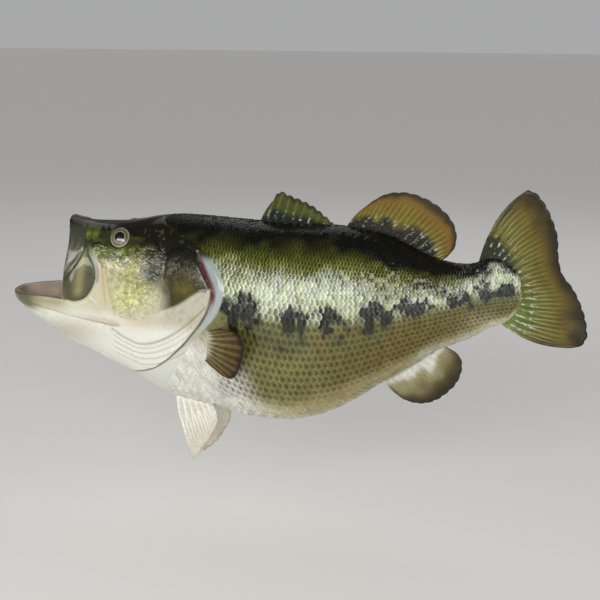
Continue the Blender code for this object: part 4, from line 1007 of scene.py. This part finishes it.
def head_plates(name, rng, outline, along, down, thick, sign, material):
    """Plates this far apart along and down the head, inside an outline and clear of the eye."""
    (first_u, first_z), (last_u, last_z) = outline.min(0), outline.max(0)
    seats = [(u, z) for i, u in enumerate(np.arange(first_u, last_u, along / 2))
             for z in np.arange(first_z + (i % 2) * down / 2, last_z, down)]
    us, zs = np.array(seats).T
    us = us + rng.normal(0, along * 0.1, len(us))
    zs = zs + rng.normal(0, down * 0.1, len(zs))
    keep = (inside_depth(us, zs, outline) > 0.0008) & (eye_distance(us, zs) > EYE_RADIUS + 0.0016)
    us, zs = us[keep], zs[keep]
    n = len(us)
    lie = column(-0.25 + rng.normal(0, 0.22, n))
    size = column(1 + rng.normal(0, 0.14, n))
    p, q = np.meshgrid(CHEEK_P, np.linspace(-1, 1, 7), indexing="ij")
    x = (p * (1 - 0.4 * q ** 2) - 0.55) * 1.9 * along * size
    y = q * 0.62 * down * size
    pu = column(us) + x * np.cos(lie) - y * np.sin(lie)
    pz = column(zs) + x * np.sin(lie) + y * np.cos(lie)
    flat_u, flat_z = pu.ravel(), pz.ravel()
    d = head_lines(flat_u, flat_z)
    surface = np.stack([pu, side(pu, pz), pz], -1)
    normal = -surface_normals(surface)          # these patches run upward
    tilt = rng.normal(0, 0.24, (n, 1, 1)) * p + rng.normal(0, 0.22, (n, 1, 1)) * q
    edge = column(rise(inside_depth(us, zs, outline), 0, 0.008))
    dome = 0.9 * p - 0.45 * rise(p, 0.5, 0.7) * p
    lift = relief(flat_u, flat_z, d).reshape(pu.shape) + tilt * edge * min(0.001, 0.0002 + thick)
    lift = lift + (-0.35 + (0.3 + 0.7 * edge) * dome * 2.1 - 0.42 * q ** 2) * thick
    colour = head_colour(flat_u, side(flat_u, flat_z) * sign, flat_z, d).reshape(surface.shape)
    chance = column(rng.random(n))
    green = np.maximum(rise(pz, 0.05, 0.02), 0.65 * blob(pu, pz, (-0.174, 0.036), (0.03, 0.024)))
    colour = colour * (1 + (chance - 0.5) * (0.25 + 0.75 * green))[..., None]
    # painted shade on the root of each plate, where the next plates cover it
    colour = mix(colour, colour * 0.45, (0.35 + 0.36 * green) * (1 - rise(p, 0.4, 0.3)))
    # pale painted highlights on the edges of some plates
    glint = green * rise(p, 0.7, 0.2) * rise(chance, 0.55, 0.2)
    colour = mix(colour, np.minimum(colour * 2.0, 0.6), 0.38 * glint)
    tops = surface + normal * lift[..., None]
    plates(name, tops[:, :, ::-1], normal[:, :, ::-1], colour[:, :, ::-1], np.stack([us, zs], -1),
           material, sign)


def build_head_scales(materials):
    """Small plates on the cheek and larger, fainter ones on the gill cover."""
    rng = np.random.default_rng(21)
    beds = (("cheek", CHEEK_OUTLINE, 0.0052, 0.0046, 0.00078),
            ("opercle", OPERCLE_OUTLINE, 0.0062, 0.0056, 0.0003))
    for which, sign in SIDES:
        for name, *bed in beds:
            head_plates(f"{name}_scales_{which}", rng, *bed, sign, materials[name])


# ---------------------------------------------------------------- eyes
def iris_colours(share, angle):
    """Mottled brown with a pale ring round the pupil and another near the rim; share is 1 at the rim."""
    n = value_noise(np.stack([np.cos(angle), np.sin(angle), share * 3], -1), 0.22, 41)
    iris = mix(tone(58, 51, 36), tone(128, 118, 94), n)
    iris = mix(iris, tone(206, 196, 166), ridge(share - 0.54, 0.03) * 0.6)
    iris = mix(iris, tone(176, 166, 142), 0.7 * ridge(share - 0.87, 0.04))
    iris = mix(iris, tone(20, 18, 14), rise(share, 0.93, 0.05))
    return mix(iris, tone(4, 4, 4), 1 - rise(share, 0.485 + 0.02 * np.cos(angle), 0.02))


def build_eye(which, flank, material):
    """A glass eye: a domed front over the iris, and a flat back deep in the socket."""
    dome = EYE_DOME_RADIUS - np.sqrt(EYE_DOME_RADIUS ** 2 - EYE_RADIUS ** 2)
    sides, rings = 72, 40
    r = EYE_RADIUS * np.sin(np.linspace(0, 1, rings + 1)[1:] * pi / 2)
    share = np.concatenate([[0], np.repeat(r / EYE_RADIUS, sides), np.full(2 * sides + 1, 1.1)])
    h = np.concatenate([dome * (1 - (r / EYE_RADIUS) ** 2), [-0.002, dome - EYE_THICKNESS]])
    r = np.concatenate([r, [EYE_RADIUS * 0.985, EYE_RADIUS * 0.9]])
    axis = eye_axis(flank)
    right = np.cross(axis, [0, 0, 1.0])
    right /= np.linalg.norm(right)
    up = np.cross(right, axis)
    middle = EYE_SURFACE * [1, flank, 1] + axis * (EYE_BULGE - dome)
    a = np.linspace(0, 2 * pi, sides, endpoint=False)
    rim = right * np.cos(a)[:, None] + up * np.sin(a)[:, None]
    points = (middle + axis * column(h) + rim * column(r)).reshape(-1, 3)
    points = np.vstack([middle + axis * dome, points, middle + axis * h[-1]])
    last = 1 + (len(r) - 1) * sides
    caps = [(0, 1 + k, 1 + (k + 1) % sides) for k in range(sides)]
    caps += [(len(points) - 1, last + (k + 1) % sides, last + k) for k in range(sides)]
    glass = raw_object("eye_glass_" + which, pose(points), fold_faces(len(r), sides, True) + 1, caps)
    angle = np.concatenate([[0], np.tile(a, len(r)), [0]])
    dressed(glass, iris_colours(share, angle), material)
    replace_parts(glass, "eye_" + which)


# ---------------------------------------------------------------- fins
def flat(points):
    """Points of the middle plane, from (u, z) in millimetres."""
    return mm([(u, 0, z) for u, z in points])


def ray_profile(x, t, branching):
    """1 on a ray, 0 between rays; soft rays fork twice on their way out, by this share of their pitch."""
    f = x - np.round(x)
    first, second = branching * rise(t, 0.22, 0.3), branching / 2 * rise(t, 0.58, 0.25)
    gap = np.min([np.abs(f - a * first - b * second) for a in (1, -1) for b in (1, -1)], 0)
    width = (0.16 - 0.1 * t) if branching else (0.17 - 0.07 * t)
    return np.exp(-(gap / width) ** 2), f


def fin(name, node, base, tips, rays, thick, paint, material, lead=(0, 0, 0), trail=(0, 0, 0),
        sag=None, branching=0.25, notch=0.0, drop=None, fleshy=0.0):
    """A rayed fin between a base curve and a tip curve, in (u, w, z), whose outer rays bow."""
    rows, columns = 44, 12 * (rays - 1) + 1
    start, end = path_points(base, columns), path_points(tips, columns)
    if drop is not None:
        end = end - drop(np.linspace(0, 1, columns) * (rays - 1))
    s, t = np.meshgrid(np.linspace(0, 1, columns), np.linspace(0, 1, rows))
    x = s * (rays - 1)
    profile, f = ray_profile(x, t, branching)
    bow = (np.array(lead) * np.maximum(0, 1 - 2 * s)[..., None]
           + np.array(trail) * np.maximum(0, 2 * s - 1)[..., None])
    reach = (t * (1 - notch * (2 * np.abs(f)) ** 2 * rise(t, 0.7, 0.3)))[..., None]
    centre = start * (1 - reach) + end * reach + bow * (4 * reach * (1 - reach))
    if sag is not None:
        centre[..., 1] += sag(s, t)
    wave = value_noise(np.stack([x.ravel() * 0.5, t.ravel() * 2.0], -1), 1.0, len(name)).reshape(t.shape)
    centre[..., 1] += (wave - 0.5) * 0.0014 * t
    normal = np.cross(np.gradient(centre, axis=0), np.gradient(centre, axis=1))
    normal /= np.maximum(np.linalg.norm(normal, axis=2), 1e-12)[..., None]
    full = thick[0] + (thick[1] - thick[0]) * smooth_step(t * 1.2)
    buried = fleshy * (1 - rise(t, 0.25, 0.45))
    half = full * (0.36 + 0.64 * (profile * (1 - buried) + 0.6 * buried) * (1 - 0.45 * t)) / 2
    half = np.maximum(half, 0.00025) * (1 - 0.5 * rise(t, 0.94, 0.06))
    shift = normal * half[..., None]
    points = np.vstack([(centre + shift).reshape(-1, 3), (centre - shift).reshape(-1, 3)])
    near, far, walls = slab_faces(rows, columns)
    faces = np.vstack([near, far[:, ::-1], walls[:, ::-1]])
    a, b, c, d = corners(pose(points), faces)
    if (np.cross(b, c) * a + np.cross(c, d) * a).sum() < 0:
        faces = faces[:, ::-1]                  # the volume was negative: turn the faces out
    colours = paint(s, t, profile, centre).reshape(-1, 3)
    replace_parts(mesh_piece(name, points, [faces], np.vstack([colours] * 2), material), node)


def fin_paint(base, middle, outer, rim, membrane, begins=0.08, rim_start=0.8, rays_light=0.35, sides=0.05,
              gaps=0.6, glints=0.0):
    """Colours of a fin from its root to its dark margin, darker between the rays, with painted glints near
    the root.
    """
    middle, outer, rim, membrane = (tone(*colour) for colour in (middle, outer, rim, membrane))

    def paint(s, t, profile, centre):
        places = centre.reshape(-1, 3)
        n, fine, flecks = (value_noise(p, size, seed).reshape(t.shape) for p, size, seed in
                           ((places, 0.012, 51), (places, 0.003, 52), (places * [1, 1, 1.6], 0.0022, 53)))
        ragged = t + (n - 0.5) * 0.22
        root = base(centre) if callable(base) else tone(*base)
        c = mix(root, middle, rise(ragged, begins, 0.24))
        c = mix(c, outer, rise(ragged, 0.45, 0.35))
        between = gaps * (1 - profile) * (0.5 + 0.5 * fine) * rise(ragged, 0.5 * begins, 0.15)
        c = mix(c, membrane, between)
        near_root = rise(t, begins - 0.12, 0.05) * fall(t, begins + 0.22, 0.12)
        # pale flecks on the rays near the root: painted glints
        c = mix(c, tone(206, 210, 196), glints * near_root * profile * rise(flecks, 0.62, 0.1))
        c = mix(c, np.clip(c * 1.9, 0, 1), rays_light * profile * fine)
        margin = rise(t + (n - 0.5) * 0.12, rim_start, 0.98 - rim_start)
        lateral = fall(np.minimum(s, 1 - s), sides, sides) * rise(t, 0.3, 0.3)
        return mix(c, rim, 0.88 * np.maximum(margin, 0.8 * lateral))
    return paint


def tail_base(centre):
    """The caudal fin's root: dark above, green in the middle, pale below."""
    z = centre[..., 2]
    c = mix(tone(40, 46, 28), tone(98, 112, 44), fall(z, 0.072, 0.02))
    return mix(c, tone(168, 174, 150), fall(z, 0.014, 0.022))


def spine_dips(x):
    """How far the membrane's edge dips between the spines."""
    f = np.abs(x - np.round(x)) * 2
    return np.stack([0 * x, 0 * x, 0.0026 * f ** 1.5], -1)


def build_fins(material):
    black, rim = (22, 26, 18), (30, 24, 12)
    fin("spiny_dorsal", "dorsal_fin_spiny", flat([(-23, 115), (25, 115), (72, 115)]),
        flat([(-4, 147), (6.5, 160.5), (20, 156), (37, 150), (52, 143), (63, 134.5), (76.5, 124)]),
        10, mm((3, 1.2)),
        fin_paint(black, (80, 88, 34), (88, 90, 36), (36, 34, 14), (28, 34, 12), begins=0.34, glints=0.55),
        material, lead=mm((-1, 0, 1)), branching=0.0, drop=spine_dips)
    fin("soft_dorsal", "dorsal_fin_soft", flat([(90, 113), (130, 108), (170, 95), (206, 79)]),
        flat([(114, 143.5), (128, 154.5), (142, 162.5), (156, 165.5), (170, 165.5), (190, 160),
              (211, 147.5), (224, 133), (230, 115), (227.5, 99), (219, 88)]),
        13, mm((3.2, 1.1)),
        fin_paint(black, (122, 112, 42), (116, 92, 30), rim, (52, 42, 10), begins=0.28, glints=0.55),
        material, lead=mm((-2, 0, 1.5)), sag=lambda s, t: 0.004 * t * np.sin(5 * s), notch=0.02)
    fin("anal", "anal_fin", flat([(140, -66), (165, -50), (190, -34), (215, -17)]),
        flat([(170, -93), (182, -96.5), (197, -96.5), (211, -91.5), (225, -81), (236, -68),
              (241.5, -52), (240, -38), (233, -30), (224, -26.5)]),
        12, mm((3, 1.1)),
        fin_paint((206, 208, 200), (140, 134, 98), (76, 66, 32), rim, (110, 104, 72), begins=0.24,
                  rim_start=0.7, rays_light=0.1, gaps=0.25),
        material, lead=mm((-2, 0, -1.5)), sag=lambda s, t: 0.003 * t * np.sin(4 * s + 1), notch=0.02,
        fleshy=0.9)
    fin("caudal", "caudal_fin", flat([(258, 83), (276, 76), (292, 61), (298, 45), (294, 28), (284, 13)]),
        flat([(313.5, 173.5), (321, 171.5), (334, 158.5), (344, 140), (351, 120), (353, 95), (358, 75),
              (372, 56), (383, 34), (389.5, 12), (390, -4), (384, -12), (373, -15)]),
        18, mm((3.6, 1.2)),
        fin_paint(tail_base, (112, 108, 44), (100, 84, 28), (14, 14, 7), (48, 42, 10),
                  begins=0.22, rim_start=0.68, rays_light=0.28, sides=0.09, glints=0.9),
        material, lead=mm((-7, 0, 9.5)), trail=mm((-3, 0, -9)),
        sag=lambda s, t: 0.0035 * t * t * np.sin(6.5 * s), notch=0.015)
    for which, flank in SIDES:
        build_pectoral(which, flank, material)
        build_pelvic(which, material)


def build_pectoral(which, flank, material):
    """The left one stands out from the flank, the right one lies along it, on the wall's side."""
    root = -0.072

    def out(u, z):
        if flank > 0:
            return side(np.float64(root), np.float64(z)) - 0.0003 + 0.42 * max(u - root, 0.0)
        return -(side(np.float64(u), np.float64(z)) + 0.0022)
    base = mm([(-71, -10), (-72, -22), (-73, -34), (-75, -46)])
    tips = mm([(-43, -1.5), (-20, -3.5), (-10.5, -8.5), (-7.8, -19), (-10.5, -34), (-17, -50), (-24, -61),
               (-33, -66), (-43, -64.5), (-57, -56)])
    fin("pectoral_" + which, "pectoral_fin_" + which, [(u, out(u, z) - flank * 0.004, z) for u, z in base],
        [(u, out(u, z), z) for u, z in tips], 12, mm((2.8, 1)),
        fin_paint((178, 174, 146), (118, 106, 62), (92, 72, 34), (20, 15, 8), (34, 26, 12),
                  begins=0.12, rim_start=0.84, sides=0.03, rays_light=0.5, gaps=0.85),
        material, sag=lambda s, t: flank * 0.0022 * np.sin(pi * t), branching=0.1, notch=0.012, fleshy=0.9)


def build_pelvic(which, material):
    """The two differ a little, as the fins of a mount do."""
    if which == "left":
        base = [(-129, 14, -108), (-105, 17, -110), (-80, 19, -113)]
        tips = [(-100, 36, -187), (-95, 35, -184), (-85, 32, -172), (-75, 28, -156), (-70, 24, -142),
                (-69.5, 22, -135)]
        lead = (-4, 0, -1)
    else:
        base = [(-124, -14, -109), (-102, -17, -112), (-80, -19, -114)]
        tips = [(-108, -38, -198.5), (-90, -36, -182), (-78, -31, -164), (-69, -27, -148), (-67, -24, -138)]
        lead = (-3, 0, -1)
    fin("pelvic_" + which, "pelvic_fin_" + which, mm(base), mm(tips), 7, mm((3.6, 1.2)),
        fin_paint((226, 226, 216), (224, 222, 210), (206, 200, 186), (170, 160, 138), (176, 170, 152),
                  rim_start=0.93, sides=0.01),
        material, lead=mm(lead), trail=mm((2, 0, 0)), notch=0.02)


# ---------------------------------------------------------------- materials
def new_material(name):
    material = bpy.data.materials.new(name)
    material.use_nodes = True
    tree = material.node_tree
    return material, tree, tree.nodes["Principled BSDF"]


def feed(tree, node, **sockets):
    """Sets sockets, named with _ for their spaces, to values or links them to other nodes' outputs."""
    for name, value in sockets.items():
        socket = node.inputs[name.replace("_", " ")]
        if isinstance(value, bpy.types.NodeSocket):
            tree.links.new(value, socket)
        else:
            socket.default_value = value


def add(tree, kind, **sockets):
    """A new shader node with its sockets set."""
    node = tree.nodes.new("ShaderNode" + kind)
    feed(tree, node, **sockets)
    return node


def grain_place(tree, stretch=None):
    """Places on the object, stretched where the grain is long."""
    where = add(tree, "TexCoord").outputs["Object"]
    if stretch is not None:
        where = add(tree, "Mapping", Vector=where, Scale=stretch).outputs["Vector"]
    return where


def noise(tree, where, scale, detail):
    return add(tree, "TexNoise", Vector=where, Scale=scale, Detail=detail).outputs["Fac"]


def add_bump(tree, shader, height, strength, distance):
    bump = add(tree, "Bump", Height=height, Strength=strength, Distance=distance)
    feed(tree, shader, Normal=bump.outputs["Normal"])


def ramp(tree, value, stops):
    """A colour ramp through (place, colour) stops."""
    node = add(tree, "ValToRGB", Fac=value)
    elements = node.color_ramp.elements
    for _ in stops[2:]:
        elements.new(0.5)
    for element, (position, colour) in zip(elements, stops):
        element.position = position
        element.color = (*colour, 1)
    return node.outputs["Color"]


def add_paint(tree, shader, speckle, **limits):
    """The painted colour, lightened and darkened by fine noise."""
    paint = add(tree, "VertexColor")
    paint.layer_name = "Paint"
    amount = add(tree, "MapRange", Value=speckle, **limits)
    shade = add(tree, "VectorMath")
    shade.operation = "SCALE"
    feed(tree, shade, Vector=paint.outputs["Color"], Scale=amount.outputs["Result"])
    feed(tree, shader, Base_Color=shade.outputs["Vector"])


def varnished(name, roughness=0.34, coat=1.0, coat_roughness=0.07, fine_bump=0.08, mottling=0.04):
    """Painted skin under clear varnish."""
    material, tree, shader = new_material(name)
    where = grain_place(tree)
    add_paint(tree, shader, noise(tree, where, 420.0, 3.0), From_Min=0.3, From_Max=0.7,
              To_Min=1.0 - 2 * mottling, To_Max=1.0 + mottling)
    add_bump(tree, shader, noise(tree, where, 900.0, 2.0), fine_bump, 0.0004)
    feed(tree, shader, Roughness=roughness, Specular_IOR_Level=0.07, Coat_Weight=coat,
         Coat_Roughness=coat_roughness)
    return material


def eye_material():
    material, tree, shader = new_material("eye_glass")
    add_paint(tree, shader, noise(tree, grain_place(tree), 1400.0, 2.0), To_Min=0.7, To_Max=1.25)
    feed(tree, shader, Roughness=0.25, Coat_Weight=1.0, Coat_Roughness=0.02)
    return material


def wood():
    material, tree, shader = new_material("board_wood")
    where = grain_place(tree, (6.0, 60.0, 90.0))
    rings = add(tree, "TexWave", Vector=where, Scale=1.6, Distortion=5.0, Detail=3.0)
    rings.bands_direction = "Z"
    pores = noise(tree, where, 14.0, 5.0)
    blend = add(tree, "Math")
    blend.operation = "MULTIPLY"
    tree.links.new(rings.outputs["Fac"], blend.inputs[0])
    tree.links.new(pores, blend.inputs[1])
    grain = ramp(tree, blend.outputs["Value"], [(0.0, tone(150, 108, 66)), (0.6, tone(206, 166, 112))])
    add_bump(tree, shader, pores, 0.3, 0.0005)
    feed(tree, shader, Base_Color=grain, Roughness=0.62)
    return material


def brushed():
    material, tree, shader = new_material("hanger_steel")
    lines = noise(tree, grain_place(tree, (20.0, 800.0, 1600.0)), 1.0, 3.0)
    add_bump(tree, shader, lines, 0.15, 0.0002)
    steel = ramp(tree, lines, [(0.0, (0.3, 0.3, 0.31)), (1.0, (0.62, 0.62, 0.63))])
    feed(tree, shader, Base_Color=steel, Metallic=1.0, Roughness=0.38)
    return material


# ---------------------------------------------------------------- camera, floor and light
CAMERA_PLACE = Vector((0.526, -1.703, 0.307))
CAMERA_FORWARD = Vector((-0.2855, 0.9401, -0.1862)).normalized()
CAMERA_UP = Vector((-0.0623, 0.1757, 0.9825)).normalized()
FLOOR_Z, FLOOR_HALF = -0.3, 80.0


def build_camera():
    data = bpy.data.cameras.new("camera")
    data.lens, data.sensor_width = 82.0, 36.0
    data.clip_start, data.clip_end = 0.05, 200.0
    camera = link("camera", data)
    right = CAMERA_FORWARD.cross(CAMERA_UP).normalized()
    turn = Matrix((right, right.cross(CAMERA_FORWARD), -CAMERA_FORWARD)).transposed()
    camera.matrix_world = Matrix.Translation(CAMERA_PLACE) @ turn.to_4x4()
    bpy.context.scene.camera = camera


def build_floor():
    mesh = bpy.data.meshes.new("floor")
    ends = ((-1, -1), (1, -1), (1, 1), (-1, 1))
    corner_places = [(x * FLOOR_HALF, y * FLOOR_HALF, FLOOR_Z) for x, y in ends]
    mesh.from_pydata(corner_places, [], [(0, 1, 2, 3)])
    floor = link("floor", mesh)
    material, tree, shader = new_material("floor")
    feed(tree, shader, Base_Color=(0.8, 0.79, 0.77, 1), Emission_Color=(1.0, 0.98, 0.95, 1),
         Emission_Strength=0.26, Roughness=0.8)
    mesh.materials.append(material)


def area_light(name, azimuth, elevation, distance, width, height, power, colour=(1.0, 1.0, 1.0)):
    """A soft box that looks at the fish; azimuth 0 is straight out from the wall, + toward +X."""
    data = bpy.data.lights.new(name, "AREA")
    data.shape, data.size, data.size_y = "RECTANGLE", width, height
    data.energy, data.color = power, colour
    light = link(name, data)
    light.visible_camera = False
    a, e = np.radians(azimuth), np.radians(elevation)
    away = Vector((sin(a) * cos(e), -cos(a) * cos(e), sin(e)))
    light.location = Vector((0.0, -0.08, 0.0)) + away * distance
    light.rotation_euler = (-away).to_track_quat("-Z", "Y").to_euler()


def build_light():
    """A bright ground and horizon under a dim sky, all dimmer behind the wall, and three soft boxes."""
    bpy.context.scene.view_settings.view_transform = "Standard"
    world = bpy.data.worlds.new("studio")
    world.use_nodes = True
    tree = world.node_tree
    parts = add(tree, "SeparateXYZ", Vector=add(tree, "TexCoord").outputs["Generated"])
    greys = ((0.0, 1.42), (0.045, 1.42), (0.07, 0.46), (0.4, 0.14), (1.0, 0.09))
    sky = ramp(tree, parts.outputs["Z"], [(place, (grey, grey, grey * 1.01)) for place, grey in greys])
    behind = add(tree, "MapRange", Value=parts.outputs["Y"], From_Max=0.7, To_Min=1.0, To_Max=0.28)
    feed(tree, tree.nodes["Background"], Color=sky, Strength=behind.outputs["Result"])
    bpy.context.scene.world = world
    area_light("key", 0, 16, 2.4, 2.8, 0.6, 44, (1.0, 0.99, 0.96))
    area_light("fill", 30, -4, 2.8, 1.6, 1.0, 7)
    area_light("rear", 180, 48, 2.8, 3.0, 2.6, 14)


def main():
    skin = varnished("varnished_skin", coat=0.7, coat_roughness=0.12)
    coat = varnished("varnished_scales", 0.32, 0.72, 0.1, fine_bump=0.05, mottling=0.1)
    foil = varnished("varnished_cheek", 0.34, 0.6, 0.15, fine_bump=0.05, mottling=0.08)
    gill = varnished("varnished_gill", 0.5, 0.34, 0.18, fine_bump=0.05, mottling=0.1)
    fins = varnished("varnished_fins", 0.5, 0.35, 0.08, fine_bump=0.04, mottling=0.08)
    glass = eye_material()
    build_camera()
    build_floor()
    build_light()
    build_skin(skin)
    build_body_scales(coat)
    build_head_scales({"cheek": foil, "opercle": gill})
    for which, flank in SIDES:
        build_eye(which, flank, glass)
    build_fins(fins)
    for node, material in (("backing_board", wood()), ("hanger_plate", brushed())):
        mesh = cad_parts[node].data
        mesh.materials.clear()
        mesh.materials.append(material)


main()
